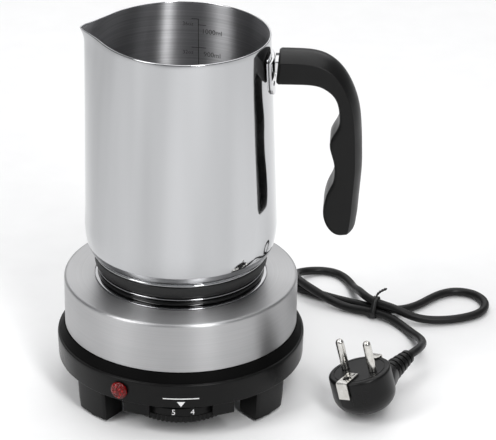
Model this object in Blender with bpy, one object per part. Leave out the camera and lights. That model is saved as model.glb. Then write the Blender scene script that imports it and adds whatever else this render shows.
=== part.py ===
"""Candle melting pot on a small electric hot plate.

A pouring pot of polished stainless steel with a black handle stands on a cast heating
plate. The hot plate has a brushed steel housing on a black moulded base with four legs,
a thumb-wheel thermostat under the front edge, a red indicator and a mains lead that is
tied in a hank and ends in an angled earthed plug.

Metres, +Z up, floor at z = 0. The camera side is -Y and the handle points to +X.
"""

import math

import bmesh
import bpy
import numpy as np
from mathutils import Matrix, Vector

# Driving dimensions
GAP = 0.0003
SEGMENTS = 40

RING_RADIUS = 0.0730
RING_BOTTOM = 0.0200
LIP_HEIGHT = 0.0335
HOUSING_RADIUS = 0.0685
HOUSING_BOTTOM = 0.0407
HOUSING_TOP = 0.0708
HOUSING_CORNER = 0.0032
SHEET = 0.0008
PLATE_RADIUS = 0.0505
PLATE_BOTTOM = 0.0772
PLATE_TOP = 0.0849
ELEMENT_RADIUS = 0.0031
ELEMENT_ORBIT = 0.0300
STUD_RADIUS = 0.0030

LEG_ANGLES = (48, 132, 228, 312)
LEG_HALF_ANGLE = 9.8
LEG_INNER = 0.0555
PAD_RADIUS = 0.0062
PAD_HEIGHT = 0.0030
PAD_ORBIT = 0.0628
GUARD_ANGLES = ((-27, -14.5), (14.5, 25))
GUARD_OUTER = 0.0722
GUARD_INNER = 0.0655
GUARD_BOTTOM = 0.0130

WEB_BOTTOM = 0.0216
WEB_TOP = 0.0236
COVER_RADIUS = 0.0550
COVER_HOLE = 0.0050
COVER_BOTTOM = 0.0202
COVER_TOP = 0.0213
SCREW_ORBIT = 0.0520

DIAL_RADIUS = 0.0320
DIAL_OFFSET = 0.0400
DIAL_BOTTOM = 0.0095
DIAL_BAND = 0.0137
DIAL_TOP = 0.0187
DIAL_SEGMENTS = 60
KNURL_DEPTH = 0.0007
SHAFT_RADIUS = 0.0030

INDICATOR_ANGLE = -28.6
INDICATOR_HEIGHT = 0.0273
GLAND_ANGLE = 168
GLAND_HEIGHT = 0.0290
GLAND_LENGTH = 0.0265
WIRE_RADIUS = 0.0011

POT_TURN = -5
POT_BOTTOM = PLATE_TOP + GAP
POT_BELLY_HEIGHT = 0.1050
POT_BELLY_RADIUS = 0.0558
POT_RIM_HEIGHT = 0.2201
POT_RIM_RADIUS = 0.0506
POT_WALL = 0.0010
BASE_DISC_HEIGHT = 0.0020
SPOUT_START = 0.1150
SPOUT_FLARE_START = 0.2120
SPOUT_REACH = 0.0066
SPOUT_RIDGE = 0.0040
SPOUT_HOLLOW = 0.0030
SPOUT_LIFT = 0.0015
SPOUT_LIFT_START = 0.1900
SPOUT_SPREAD = 13.3
SPOUT_SPREAD_BELOW = 26
HOLLOW_SPREAD = 70
LIFT_SPREAD = 72

HANDLE_REACH = 0.1038
HANDLE_HALF_WIDTH = 0.0120
HANDLE_CROWN = 0.0040
STEM_WIDTH = 0.0140
STEM_THICKNESS = 0.0070
STEM_HEIGHT = 0.2040
SCREW_REACH = 0.0640
SCREW_SEAT = 0.1980
GRIP_UNDERSIDE = 0.1948

CORD_RADIUS = 0.0026
CORD_SPACING = 0.0085
TIE_CENTRE = (0.1228, 0.0766, 0.0059)
TIE_HEADING = -23
TIE_STRANDS = ((0.0028, -0.0018), (0.0002, 0.0037), (-0.0032, -0.0018))
TIE_STARTS = (-90, 30, 150)
TIE_SLACK = 0.0008
TWIST_RADIUS = 0.0012

PIN_SPACING = 0.0190
PIN_RADIUS = 0.0024
PIN_LENGTH = 0.0190
PLUG_RADIUS = 0.0184
PLUG_HEADING = 54
PLUG_PITCH = 4
PLUG_ROLL = 14
PLUG_CABLE_DEPTH = 0.0160
PLUG_NECK_END = 0.0280
PLUG_BOOT_TIP = 0.0500
CLIP_HALF_WIDTH = 0.0037

# The hot plate's axis, set so that the box round hot plate and pot is centred on X = 0
AXIS_X = (RING_RADIUS - HANDLE_REACH) / 2

# The lead from the gland's tip to the plug's boot, round the hot plate's axis
CORD_ROUTE = (
    (0.0207, 0.0976, 0.0290),
    (0.0236, 0.1100, 0.0274),
    (0.0310, 0.1210, 0.0207),
    (0.0435, 0.1260, 0.0110),
    (0.0575, 0.1210, 0.0044),
    (0.0700, 0.1126, 0.0029),
    (0.0810, 0.1054, 0.0029),
    (0.0920, 0.0984, 0.0029),
    (0.1030, 0.0914, 0.0031),
    (0.1140, 0.0844, 0.0038),
    (0.1235, 0.0793, 0.0041),
    (0.1330, 0.0774, 0.0038),
    (0.1430, 0.0805, 0.0031),
    (0.1530, 0.0880, 0.0029),
    (0.1626, 0.0974, 0.0029),
    (0.1749, 0.1037, 0.0029),
    (0.1860, 0.1012, 0.0029),
    (0.1932, 0.0901, 0.0029),
    (0.1898, 0.0766, 0.0029),
    (0.1782, 0.0686, 0.0029),
    (0.1625, 0.0650, 0.0030),
    (0.1470, 0.0656, 0.0046),
    (0.1332, 0.0704, 0.0086),
    (0.1230, 0.0766, 0.0096),
    (0.1170, 0.0842, 0.0098),
    (0.1138, 0.0945, 0.0082),
    (0.1115, 0.1060, 0.0046),
    (0.1080, 0.1200, 0.0030),
    (0.1003, 0.1306, 0.0029),
    (0.0901, 0.1336, 0.0030),
    (0.0778, 0.1276, 0.0050),
    (0.0740, 0.1155, 0.0084),
    (0.0775, 0.1045, 0.0094),
    (0.0845, 0.0955, 0.0086),
    (0.0940, 0.0883, 0.0056),
    (0.1060, 0.0814, 0.0034),
    (0.1212, 0.0738, 0.0041),
    (0.1310, 0.0671, 0.0036),
    (0.1380, 0.0580, 0.0029),
    (0.1432, 0.0470, 0.0036),
    (0.1463, 0.0350, 0.0066),
    (0.1470, 0.0230, 0.0102),
    (0.1452, 0.0118, 0.0138),
    (0.1415, 0.0023, 0.0161),
    (0.1365, -0.0045, 0.0165),
)


# Scene and materials


def clear_scene():
    for obj in list(bpy.data.objects):
        bpy.data.objects.remove(obj, do_unlink=True)


def material(name, colour, roughness, metallic=0.0):
    made = bpy.data.materials.new(name)
    made.use_nodes = True
    shader = made.node_tree.nodes["Principled BSDF"]
    shader.inputs["Base Color"].default_value = (*colour, 1.0)
    shader.inputs["Roughness"].default_value = roughness
    shader.inputs["Metallic"].default_value = metallic
    return made


def empty(name, parent=None, location=(0, 0, 0), turn=0):
    made = bpy.data.objects.new(name, None)
    made.location = location
    made.rotation_euler = (0, 0, math.radians(turn))
    made.parent = parent
    bpy.context.scene.collection.objects.link(made)
    return made


# Mesh helpers


def add_object(name, bm, finish, parent, location=(0, 0, 0), rotation=(0, 0, 0)):
    bmesh.ops.recalc_face_normals(bm, faces=bm.faces[:])
    mesh = bpy.data.meshes.new(name)
    bm.to_mesh(mesh)
    bm.free()
    mesh.shade_smooth()
    mesh.set_sharp_from_angle(angle=math.radians(35))
    if finish:
        mesh.materials.append(finish)
    made = bpy.data.objects.new(name, mesh)
    made.location = location
    made.rotation_euler = [math.radians(angle) for angle in rotation]
    made.parent = parent
    bpy.context.scene.collection.objects.link(made)
    return made


def bridge(bm, first, second):
    """Faces between two rings, where a ring of one vertex closes to a point."""
    count = max(len(first), len(second))
    for i in range(count):
        j = (i + 1) % count
        corners = [first[i % len(first)], first[j % len(first)]]
        corners += [second[j % len(second)], second[i % len(second)]]
        unique = list(dict.fromkeys(corners))
        if len(unique) > 2:
            bm.faces.new(unique)


def loft_mesh(rings, closed=False):
    """A skin over rings of points, with flat ends, or joined end to start when closed."""
    bm = bmesh.new()
    made = [[bm.verts.new(point) for point in ring] for ring in rings]
    for first, second in zip(made, made[1:]):
        bridge(bm, first, second)
    if closed:
        bridge(bm, made[-1], made[0])
    else:
        for end in (made[0], made[-1]):
            if len(end) > 2:
                bm.faces.new(end)
    return bm


def circle(radius, height, segments=SEGMENTS, ripple=0.0):
    """Points round the Z axis. A ripple draws every second point inwards."""
    if radius == 0:
        return [(0, 0, height)]
    points = []
    for i in range(segments):
        angle = 2 * math.pi * i / segments
        r = radius - ripple * (i % 2)
        points.append((r * math.cos(angle), r * math.sin(angle), height))
    return points


def turned(
    name, outline, finish, parent, location=(0, 0, 0), rotation=(0, 0, 0), segments=SEGMENTS
):
    """A turned piece. The outline is (radius, height) pairs, open where it meets the axis."""
    rings = [circle(radius, height, segments) for radius, height in outline]
    closed = outline[0][0] > 0 and outline[-1][0] > 0
    return add_object(name, loft_mesh(rings, closed), finish, parent, location, rotation)


def rod(name, radius, length, finish, parent, location, rotation=(0, 0, 0), segments=20):
    outline = ((0, 0), (radius, 0), (radius, length), (0, length))
    return turned(name, outline, finish, parent, location, rotation, segments)


def prism_mesh(outline, low, high):
    return loft_mesh([[(x, y, z) for x, y in outline] for z in (low, high)])


def block(name, size, finish, parent, location, rotation=(0, 0, 0), bevel=0.0):
    bm = bmesh.new()
    bmesh.ops.create_cube(bm, size=1)
    bmesh.ops.scale(bm, vec=size, verts=bm.verts)
    made = add_object(name, bm, finish, parent, location, rotation)
    if bevel:
        rounding = made.modifiers.new("Rounding", "BEVEL")
        rounding.width = bevel
        rounding.segments = 2
    return made


def combine(target, other, operation):
    """Cut or join the target with a hidden helper."""
    other.hide_render = True
    other.display_type = "WIRE"
    modifier = target.modifiers.new(operation.title(), "BOOLEAN")
    modifier.operation = operation
    modifier.object = other


def joined(parts):
    """One mesh that takes over the faces of several."""
    bm = bmesh.new()
    for part in parts:
        mesh = bpy.data.meshes.new("joined")
        part.to_mesh(mesh)
        part.free()
        bm.from_mesh(mesh)
        bpy.data.meshes.remove(mesh)
    return bm


def copies(make, placements):
    """One mesh with the shape that make() gives at each matrix."""
    parts = []
    for placement in placements:
        part = make()
        part.transform(placement)
        parts.append(part)
    return joined(parts)


def polar(radius, angle, height=0.0):
    """A point at an angle from -Y, turning towards +X."""
    turn = math.radians(angle)
    return (radius * math.sin(turn), -radius * math.cos(turn), height)


def smooth_path(route, spacing):
    """Evenly spaced points on the natural cubic spline through a route."""
    route = np.array(route)
    steps = np.linalg.norm(np.diff(route, axis=0), axis=1)
    knots = np.concatenate([[0], np.cumsum(steps)])
    count = len(knots)
    system = np.eye(count)
    load = np.zeros((count, 3))
    for i in range(1, count - 1):
        before, after = steps[i - 1], steps[i]
        system[i, i - 1 : i + 2] = before, 2 * (before + after), after
        load[i] = 6 * ((route[i + 1] - route[i]) / after - (route[i] - route[i - 1]) / before)
    bends = np.linalg.solve(system, load)
    fine = []
    for s in np.linspace(0, knots[-1], 40 * count):
        i = min(max(int(np.searchsorted(knots, s)) - 1, 0), count - 2)
        a = (knots[i + 1] - s) / steps[i]
        b = 1 - a
        curve = (a**3 - a) * bends[i] + (b**3 - b) * bends[i + 1]
        fine.append(a * route[i] + b * route[i + 1] + curve * steps[i] ** 2 / 6)
    fine = np.array(fine)
    length = np.concatenate([[0], np.cumsum(np.linalg.norm(np.diff(fine, axis=0), axis=1))])
    places = np.linspace(0, length[-1], max(round(length[-1] / spacing), 2) + 1)
    return np.column_stack([np.interp(places, length, fine[:, k]) for k in range(3)])


def tube(name, points, radius, finish, parent, resolution=2):
    curve = bpy.data.curves.new(name, "CURVE")
    curve.dimensions = "3D"
    curve.bevel_depth = radius
    curve.bevel_resolution = resolution
    curve.use_fill_caps = True
    curve.materials.append(finish)
    spline = curve.splines.new("POLY")
    spline.points.add(len(points) - 1)
    for place, point in zip(spline.points, points):
        place.co = (*point, 1)
    made = bpy.data.objects.new(name, curve)
    made.parent = parent
    bpy.context.scene.collection.objects.link(made)
    return made


# Base


def leg_mesh():
    """One leg, centred on -Y: flat sides along the radius and an outer face that leans in."""
    rings = []
    for height, outer in ((0.0010, 0.0696), (0.0090, 0.0706), (WEB_TOP - GAP, 0.0714)):
        sweep = np.linspace(-LEG_HALF_ANGLE, LEG_HALF_ANGLE, 5)
        ring = [polar(outer, angle, height) for angle in sweep]
        ring += [polar(LEG_INNER, angle, height) for angle in reversed(sweep)]
        rings.append(ring)
    return loft_mesh(rings)


def make_base_ring(finish, parent):
    """Moulded ring: a spigot inside the housing, a sloped lip, a wall and an inner web."""
    outline = (
        (0.0640, 0.0450),
        (0.0670, 0.0450),
        (0.0670, HOUSING_BOTTOM - GAP),
        (0.0692, HOUSING_BOTTOM - GAP),
        (0.0715, LIP_HEIGHT + 0.0022),
        (0.0726, LIP_HEIGHT + 0.0011),
        (RING_RADIUS, LIP_HEIGHT),
        (RING_RADIUS, LIP_HEIGHT - 0.0010),
        (0.0726, RING_BOTTOM),
        (0.0702, RING_BOTTOM),
        (0.0702, WEB_BOTTOM),
        (0.0490, WEB_BOTTOM),
        (0.0490, WEB_TOP),
        (0.0702, WEB_TOP),
        (0.0704, LIP_HEIGHT + 0.0010),
        (0.0662, 0.0380),
        (0.0640, 0.0380),
    )
    ring = turned("base_ring", outline, finish, parent)
    turns = [Matrix.Rotation(math.radians(angle), 4, "Z") for angle in LEG_ANGLES]
    legs = add_object("leg_blocks", copies(leg_mesh, turns), None, parent)
    combine(ring, legs, "UNION")
    combine(ring, dial_guards(parent), "UNION")
    wall = RING_RADIUS - 0.0080
    lamp_depth = RING_RADIUS - 0.0155
    for cutter in (
        dial_recess(parent),
        pad_pockets(parent),
        screw_holes("web_screw_holes", 0.0017, parent),
        radial_hole("indicator_hole", 0.0049, INDICATOR_ANGLE, INDICATOR_HEIGHT, wall, 0.0160, parent),
        radial_hole("lamp_room", 0.0072, INDICATOR_ANGLE, INDICATOR_HEIGHT, lamp_depth, 0.0123, parent),
        radial_hole("gland_hole", 0.0046, GLAND_ANGLE, GLAND_HEIGHT, wall, 0.0160, parent),
    ):
        combine(ring, cutter, "DIFFERENCE")


def dial_guards(parent):
    """Two short skirts below the ring, one on each side of the thumb wheel."""
    guards = []
    for start, end in GUARD_ANGLES:
        sweep = np.linspace(start, end, 4)
        outline = [polar(GUARD_OUTER, angle)[:2] for angle in sweep]
        outline += [polar(GUARD_INNER, angle)[:2] for angle in reversed(sweep)]
        guards.append(prism_mesh(outline, GUARD_BOTTOM, WEB_TOP - GAP))
    return add_object("dial_guards", joined(guards), None, parent)


def dial_recess(parent):
    """Room for the thumb wheel, up to just above its rim."""
    height = RING_BOTTOM - 0.0006
    place = (0, -DIAL_OFFSET, 0)
    return rod("dial_recess", DIAL_RADIUS + 0.0012, height, None, parent, place, segments=48)


def pad_pocket():
    return loft_mesh([circle(PAD_RADIUS + GAP, z, 20) for z in (-0.001, PAD_HEIGHT + GAP)])


def pad_pockets(parent):
    places = [Matrix.Translation(polar(PAD_ORBIT, angle)) for angle in LEG_ANGLES]
    return add_object("pad_pockets", copies(pad_pocket, places), None, parent)


def screw_places():
    return [polar(SCREW_ORBIT, angle) for angle in (45, 135, 225, 315)]


def screw_holes(name, radius, parent):
    """Cutters for the four cover screws, through both cover and web."""

    def hole():
        return loft_mesh([circle(radius, z, 12) for z in (COVER_BOTTOM - 0.002, WEB_TOP + 0.002)])

    places = [Matrix.Translation(place) for place in screw_places()]
    return add_object(name, copies(hole, places), None, parent)


def radial_hole(name, radius, angle, height, start, length, parent):
    """A cutter that runs outwards along a radius of the ring."""
    place = polar(start, angle, height)
    return rod(name, radius, length, None, parent, place, (90, 0, angle), segments=28)


def make_bottom_cover(finish, parent):
    outline = (
        (COVER_HOLE, COVER_BOTTOM),
        (COVER_RADIUS, COVER_BOTTOM),
        (COVER_RADIUS, COVER_TOP),
        (COVER_HOLE, COVER_TOP),
    )
    cover = turned("bottom_cover", outline, finish, parent)
    combine(cover, screw_holes("cover_screw_holes", 0.0019, parent), "DIFFERENCE")
    place = (0, -DIAL_OFFSET, COVER_BOTTOM - 0.002)
    combine(cover, rod("shaft_opening", 0.0042, 0.006, None, parent, place), "DIFFERENCE")


def make_cover_screws(finish, parent):
    """Pan-head screws, driven up through the cover into the base's web."""
    seat = COVER_BOTTOM - GAP
    outline = (
        (0, seat - 0.0020),
        (0.0019, seat - 0.0018),
        (0.0026, seat - 0.0010),
        (0.0027, seat),
        (0.0013, seat),
        (0.0013, WEB_TOP + 0.0020),
        (0, WEB_TOP + 0.0024),
    )
    for number, place in enumerate(screw_places(), 1):
        turned(f"cover_screw_{number}", outline, finish, parent, place, segments=12)


def make_foot_pads(finish, parent):
    outline = (
        (0, 0),
        (PAD_RADIUS - 0.0005, 0),
        (PAD_RADIUS, 0.0005),
        (PAD_RADIUS, PAD_HEIGHT),
        (0, PAD_HEIGHT),
    )
    names = ("front_right", "back_right", "back_left", "front_left")
    for name, angle in zip(names, LEG_ANGLES):
        place = polar(PAD_ORBIT, angle)
        turned(f"foot_pad_{name}", outline, finish, parent, place, segments=20)


# Housing and heating plate


def shoulder(radius, top, corner, angles):
    """Points on a rounded top edge, for angles from the side (0) to the top (90)."""
    points = []
    for angle in angles:
        turn = math.radians(angle)
        out = radius - corner + corner * math.cos(turn)
        points.append((out, top - corner + corner * math.sin(turn)))
    return points


def make_housing(finish, parent):
    """Pressed steel cover: side wall, rounded shoulder, flat top and a hemmed opening."""
    angles = (0, 30, 60, 90)
    inner_radius = HOUSING_RADIUS - SHEET
    inner_top = HOUSING_TOP - SHEET
    outline = [(HOUSING_RADIUS, HOUSING_BOTTOM)]
    outline += shoulder(HOUSING_RADIUS, HOUSING_TOP, HOUSING_CORNER, angles)
    outline += [(0.0488, HOUSING_TOP), (0.0480, HOUSING_TOP - 0.0008), (0.0480, HOUSING_TOP - 0.0024)]
    outline += [(0.0488, HOUSING_TOP - 0.0024), (0.0488, inner_top)]
    outline += shoulder(inner_radius, inner_top, HOUSING_CORNER - SHEET, reversed(angles))
    outline += [(inner_radius, HOUSING_BOTTOM)]
    turned("housing_shell", outline, finish, parent)


def make_trim_ring(finish, parent):
    """Spool-shaped ring: a lip under the plate, a neck and a flange on the housing."""
    foot = HOUSING_TOP + GAP
    outline = (
        (0.0462, PLATE_BOTTOM - GAP),
        (0.0484, PLATE_BOTTOM - GAP),
        (0.0489, 0.0764),
        (0.0475, 0.0754),
        (0.0473, 0.0729),
        (0.0478, 0.0722),
        (0.0500, 0.0719),
        (0.0506, 0.0714),
        (0.0503, foot),
        (0.0472, foot),
        (0.0465, 0.0718),
        (0.0465, 0.0754),
    )
    turned("trim_ring", outline, finish, parent)


def make_heating_plate(finish, parent):
    """Cast disc with two shallow grooves in its face and a boss for the stud below."""
    floor = PLATE_TOP - 0.0006
    outline = [(0, PLATE_TOP)]
    for groove in (0.0160, 0.0320):
        outline += [(groove - 0.0008, PLATE_TOP), (groove - 0.0004, floor)]
        outline += [(groove + 0.0004, floor), (groove + 0.0008, PLATE_TOP)]
    outline += [
        (0.0489, PLATE_TOP),
        (PLATE_RADIUS, 0.0838),
        (0.0503, 0.0800),
        (0.0482, PLATE_BOTTOM),
        (0, PLATE_BOTTOM),
    ]
    turned("heating_plate", outline, finish, parent)


def make_heater(steel, mica, parent):
    """Tubular element, insulating disc and heat shield, stacked under the plate."""
    height = PLATE_BOTTOM - GAP - ELEMENT_RADIUS
    rings = []
    for angle in np.linspace(18, 342, 24):
        turn = Matrix.Rotation(math.radians(angle), 4, "Z")
        turn @= Matrix.Translation((ELEMENT_ORBIT, 0, height))
        rings.append([turn @ Vector((x, 0, y)) for x, y, _ in circle(ELEMENT_RADIUS, 0, 10)])
    add_object("heating_element", loft_mesh(rings), steel, parent)
    low, high = 0.0672, 0.0698
    disc = ((0.0036, low), (0.0440, low), (0.0440, high), (0.0036, high))
    turned("insulation_disc", disc, mica, parent, segments=36)
    low, high, lip = 0.0660, 0.0668, 0.0700
    shield = (
        (0.0036, low),
        (0.0458, low),
        (0.0458, lip),
        (0.0450, lip),
        (0.0450, high),
        (0.0036, high),
    )
    turned("heat_shield", shield, steel, parent, segments=36)


def make_plate_fixing(steel, parent):
    """Stud, clamp bar, washer and nut that pull plate and ring down on the housing."""
    rod("plate_stud", STUD_RADIUS, 0.0229, steel, parent, (0, 0, 0.0540))
    base, rise, half, thick = 0.0630, 0.0697, 0.0560, 0.0015
    outline = [(-half, rise), (-half, base), (half, base), (half, rise)]
    outline += [(half - thick, rise), (half - thick, base + thick)]
    outline += [(thick - half, base + thick), (thick - half, rise)]
    shape = prism_mesh(outline, -0.0070, 0.0070)
    bar = add_object("clamp_bar", shape, steel, parent, rotation=(90, 0, 0))
    hole = rod("bar_hole", STUD_RADIUS + 0.0004, 0.006, None, parent, (0, 0, 0.0610))
    combine(bar, hole, "DIFFERENCE")
    washer = ((0.0034, 0.0615), (0.0075, 0.0615), (0.0075, 0.0627), (0.0034, 0.0627))
    turned("stud_washer", washer, steel, parent, segments=24)
    nut = ((0.0038, 0.0562), (0.0060, 0.0562), (0.0060, 0.0612), (0.0038, 0.0612))
    turned("stud_nut", nut, steel, parent, segments=6)


# Controls and wiring


def make_thermostat(ceramic, steel, parent):
    """Bimetal regulator above the thumb wheel, on a strap from the base's web."""
    place = (0, -DIAL_OFFSET, 0.0333)
    block("thermostat_body", (0.0240, 0.0180, 0.0130), ceramic, parent, place, bevel=0.0008)
    low, step, high = WEB_TOP + GAP, 0.0251, 0.0265
    wide, raised = 0.0300, 0.0150
    outline = [(-wide, low), (wide, low), (wide, step), (raised, step), (raised, high)]
    outline += [(-raised, high), (-raised, step), (-wide, step)]
    shape = prism_mesh(outline, -0.0060, 0.0060)
    strap = add_object("thermostat_strap", shape, steel, parent, (0, -DIAL_OFFSET, 0), (90, 0, 0))
    hole = rod("strap_hole", 0.0040, 0.010, None, parent, (0, -DIAL_OFFSET, 0.0200))
    combine(strap, hole, "DIFFERENCE")


def make_indicator(lens_finish, glass, steel, parent):
    """Domed lens in the ring's wall, with its retaining washer and neon lamp behind it."""
    lens = (
        (0, 0.0028),
        (0.0034, 0.0020),
        (0.0048, 0.0006),
        (0.0052, -0.0001),
        (0.0050, -0.0004),
        (0.0045, -0.0004),
        (0.0045, -0.0090),
        (0.0033, -0.0090),
        (0.0033, -0.0020),
        (0, -0.0014),
    )
    place = polar(RING_RADIUS + 0.0009, INDICATOR_ANGLE, INDICATOR_HEIGHT)
    turn = (90, 0, INDICATOR_ANGLE)
    turned("indicator_lens", lens, lens_finish, parent, place, turn, segments=20)
    washer = ((0.0049, -0.0052), (0.0068, -0.0052), (0.0068, -0.0042), (0.0049, -0.0042))
    turned("lens_retainer", washer, steel, parent, place, turn, segments=20)
    bulb = ((0, -0.0030), (0.0020, -0.0036), (0.0028, -0.0050), (0.0028, -0.0150), (0, -0.0150))
    turned("indicator_lamp", bulb, glass, parent, place, turn, segments=12)


def make_wiring(finishes, parent):
    """Terminal block, thermal fuse, earth screw and the three inner conductors."""
    size, place = (0.0220, 0.0120, 0.0110), (0.0080, 0.0340, 0.0300)
    block("terminal_block", size, finishes["plastic"], parent, place, bevel=0.0008)
    rod("thermal_fuse", 0.0024, 0.0140, finishes["steel"], parent, (-0.0340, 0, 0.0560), (0, 90, 90))
    screw = ((0, 0.0239), (0.0030, 0.0239), (0.0030, 0.0262), (0.0017, 0.0270), (0, 0.0270))
    turned("earth_screw", screw, finishes["steel"], parent, polar(0.0560, 200), segments=12)
    live = (
        (0.0020, 0.0270, 0.0320),
        (-0.0060, 0.0120, 0.0350),
        (-0.0120, -0.0150, 0.0400),
        (-0.0050, -0.0305, 0.0360),
    )
    neutral = (
        (0.0100, 0.0268, 0.0320),
        (0.0175, 0.0170, 0.0380),
        (0.0262, 0.0125, 0.0530),
        (0.0270, 0.0125, 0.0655),
    )
    earth = (
        (0.0140, 0.0410, 0.0320),
        (0.0105, 0.0475, 0.0330),
        (-0.0040, 0.0520, 0.0320),
        (-0.0170, 0.0525, 0.0286),
    )
    for name, route, colour in (
        ("wire_live", live, "brown"),
        ("wire_neutral", neutral, "blue"),
        ("wire_earth", earth, "yellow"),
    ):
        tube(name, smooth_path(route, 0.006), WIRE_RADIUS, finishes[colour], parent)


def make_dial(black, steel, axis):
    """Thumb wheel on the regulator's shaft. Both turn about the axis."""
    bore = SHAFT_RADIUS + GAP
    knurled = (
        (DIAL_RADIUS - 0.0008, DIAL_BOTTOM),
        (DIAL_RADIUS, DIAL_BOTTOM + 0.0006),
        (DIAL_RADIUS, DIAL_BAND),
    )
    plain = (
        (DIAL_RADIUS - 0.0008, DIAL_BAND + 0.0003),
        (DIAL_RADIUS - 0.0010, DIAL_TOP - 0.0005),
        (DIAL_RADIUS - 0.0016, DIAL_TOP),
        (bore, DIAL_TOP),
    )
    rings = [circle(bore, DIAL_BOTTOM, DIAL_SEGMENTS)]
    rings += [circle(radius, height, DIAL_SEGMENTS, KNURL_DEPTH) for radius, height in knurled]
    rings += [circle(radius, height, DIAL_SEGMENTS) for radius, height in plain]
    add_object("control_dial", loft_mesh(rings, closed=True), black, axis)
    rod("thermostat_shaft", SHAFT_RADIUS, 0.0159, steel, axis, (0, 0, 0.0106), segments=16)


# Lead and plug


def ribbed(start, length, first_radius, last_radius, groove, ribs=5):
    """Outline of a strain relief's ribs, which get smaller along it."""
    pitch = length / ribs
    points = []
    for rib in range(ribs):
        low = start + rib * pitch
        radius = first_radius + (last_radius - first_radius) * rib / ribs
        points += [(radius - groove, low), (radius - groove, low + 0.3 * pitch)]
        points += [(radius, low + 0.4 * pitch), (radius, low + 0.9 * pitch)]
    return points


def make_gland(finish, parent):
    """Tapered ribbed bushing: a flange inside the wall and the boot outside."""
    end = GLAND_LENGTH - 0.0004
    outline = [(0, -0.0060), (0.0052, -0.0060), (0.0052, -0.0036), (0.0043, -0.0036)]
    outline += [(0.0043, 0.0012), (0.0072, 0.0014), (0.0070, 0.0034)]
    outline += ribbed(0.0036, end - 0.0036, 0.0062, 0.0036, 0.0010)
    outline += [(0.0032, end), (0, end)]
    place = polar(RING_RADIUS, GLAND_ANGLE, GLAND_HEIGHT)
    turned("cord_gland", outline, finish, parent, place, (90, 0, GLAND_ANGLE), segments=12)


def tie_outline(radius):
    """Round the hank's three strands, each passed at a radius."""
    outline = []
    for (y, z), start in zip(TIE_STRANDS, TIE_STARTS):
        for step in (0, 30, 60, 90, 120):
            turn = math.radians(start + step)
            outline.append((y + radius * math.cos(turn), z + radius * math.sin(turn)))
    return outline


def make_cord_tie(finish, parent):
    """Wire tie round the hank's three strands, with its two ends twisted together."""
    half, wall = 0.0018, 0.0006
    inner = tie_outline(CORD_RADIUS + TIE_SLACK)
    outer = tie_outline(CORD_RADIUS + TIE_SLACK + wall)
    rings = []
    for x, outline in ((-half, inner), (-half, outer), (half, outer), (half, inner)):
        rings.append([(x, y, z) for y, z in outline])
    place, turn = TIE_CENTRE, (0, 0, TIE_HEADING)
    tie = add_object("cord_tie", loft_mesh(rings, closed=True), finish, parent, place, turn)
    tail = (
        (0, 0.0010, 0.0082),
        (0.0010, 0.0030, 0.0098),
        (0.0030, 0.0058, 0.0110),
        (0.0062, 0.0092, 0.0116),
    )
    rings = []
    for point in smooth_path(tail, 0.002):
        section = circle(TWIST_RADIUS, 0, 8)
        rings.append([Vector(point) + Vector((0.6 * x, -0.6 * x, y)) for x, y, _ in section])
    twist = add_object("tie_tail", loft_mesh(rings), None, parent, place, turn)
    combine(tie, twist, "UNION")


def plug_frame(parent):
    """An empty at the centre of the plug's face: Z along the pins, Y along the lead."""
    heading = Matrix.Rotation(math.radians(PLUG_HEADING - 90), 4, "Z")
    pitch = Matrix.Rotation(math.radians(PLUG_PITCH), 4, "X")
    roll = Matrix.Rotation(math.radians(-PLUG_ROLL), 4, "Y")
    turn = heading @ pitch @ roll
    tip = turn @ Vector((0, PLUG_BOOT_TIP + GAP, -PLUG_CABLE_DEPTH))
    made = empty("plug_frame", parent)
    made.matrix_local = Matrix.Translation(Vector(CORD_ROUTE[-1]) - tip) @ turn
    return made


def ellipse(rx, ry, centre, height, segments):
    ring = []
    for i in range(segments):
        angle = 2 * math.pi * i / segments
        ring.append((rx * math.cos(angle), centre + ry * math.sin(angle), height))
    return ring


def make_plug_body(finish, frame):
    """Round socket face, domed back and a neck towards the lead."""
    levels = (
        (PLUG_RADIUS - 0.0008, PLUG_RADIUS - 0.0008, 0, 0),
        (PLUG_RADIUS, PLUG_RADIUS, 0, -0.0008),
        (PLUG_RADIUS, PLUG_RADIUS, 0, -0.0130),
        (0.0180, 0.0188, 0.0005, -0.0175),
        (0.0163, 0.0176, 0.0010, -0.0220),
        (0.0136, 0.0150, 0.0015, -0.0250),
        (0.0100, 0.0115, 0.0015, -0.0263),
    )
    rings = [ellipse(*level, segments=28) for level in levels]
    body = add_object("plug_body", loft_mesh(rings), finish, frame)
    sections = (
        (0.0080, 0.0125, 0.0080, 0.0150),
        (0.0190, 0.0110, 0.0078, 0.0152),
        (0.0250, 0.0084, 0.0070, 0.0158),
        (PLUG_NECK_END, 0.0066, 0.0064, PLUG_CABLE_DEPTH),
    )
    rings = []
    for y, rx, rz, depth in sections:
        rings.append([(x, y, z - depth) for x, z, _ in ellipse(rx, rz, 0, 0, 20)])
    combine(body, add_object("plug_neck", loft_mesh(rings), None, frame), "UNION")


def make_plug_boot(finish, frame):
    start = PLUG_NECK_END + GAP
    ribs = start + 0.0017
    outline = [(0, start), (0.0062, start), (0.0064, ribs)]
    outline += ribbed(ribs, PLUG_BOOT_TIP - ribs, 0.0062, 0.0040, 0.0011)
    outline += [(0.0034, PLUG_BOOT_TIP), (0, PLUG_BOOT_TIP)]
    place = (0, 0, -PLUG_CABLE_DEPTH)
    turned("plug_boot", outline, finish, frame, place, (-90, 0, 0), segments=12)


def make_plug_pins(finish, frame):
    outline = (
        (0, GAP),
        (PIN_RADIUS, GAP),
        (PIN_RADIUS, PIN_LENGTH - 0.0012),
        (0.0017, PIN_LENGTH - 0.0003),
        (0, PIN_LENGTH),
    )
    for name, side in (("plug_pin_left", -1), ("plug_pin_right", 1)):
        place = (side * PIN_SPACING / 2, 0, 0)
        turned(name, outline, finish, frame, place, segments=16)


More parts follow.
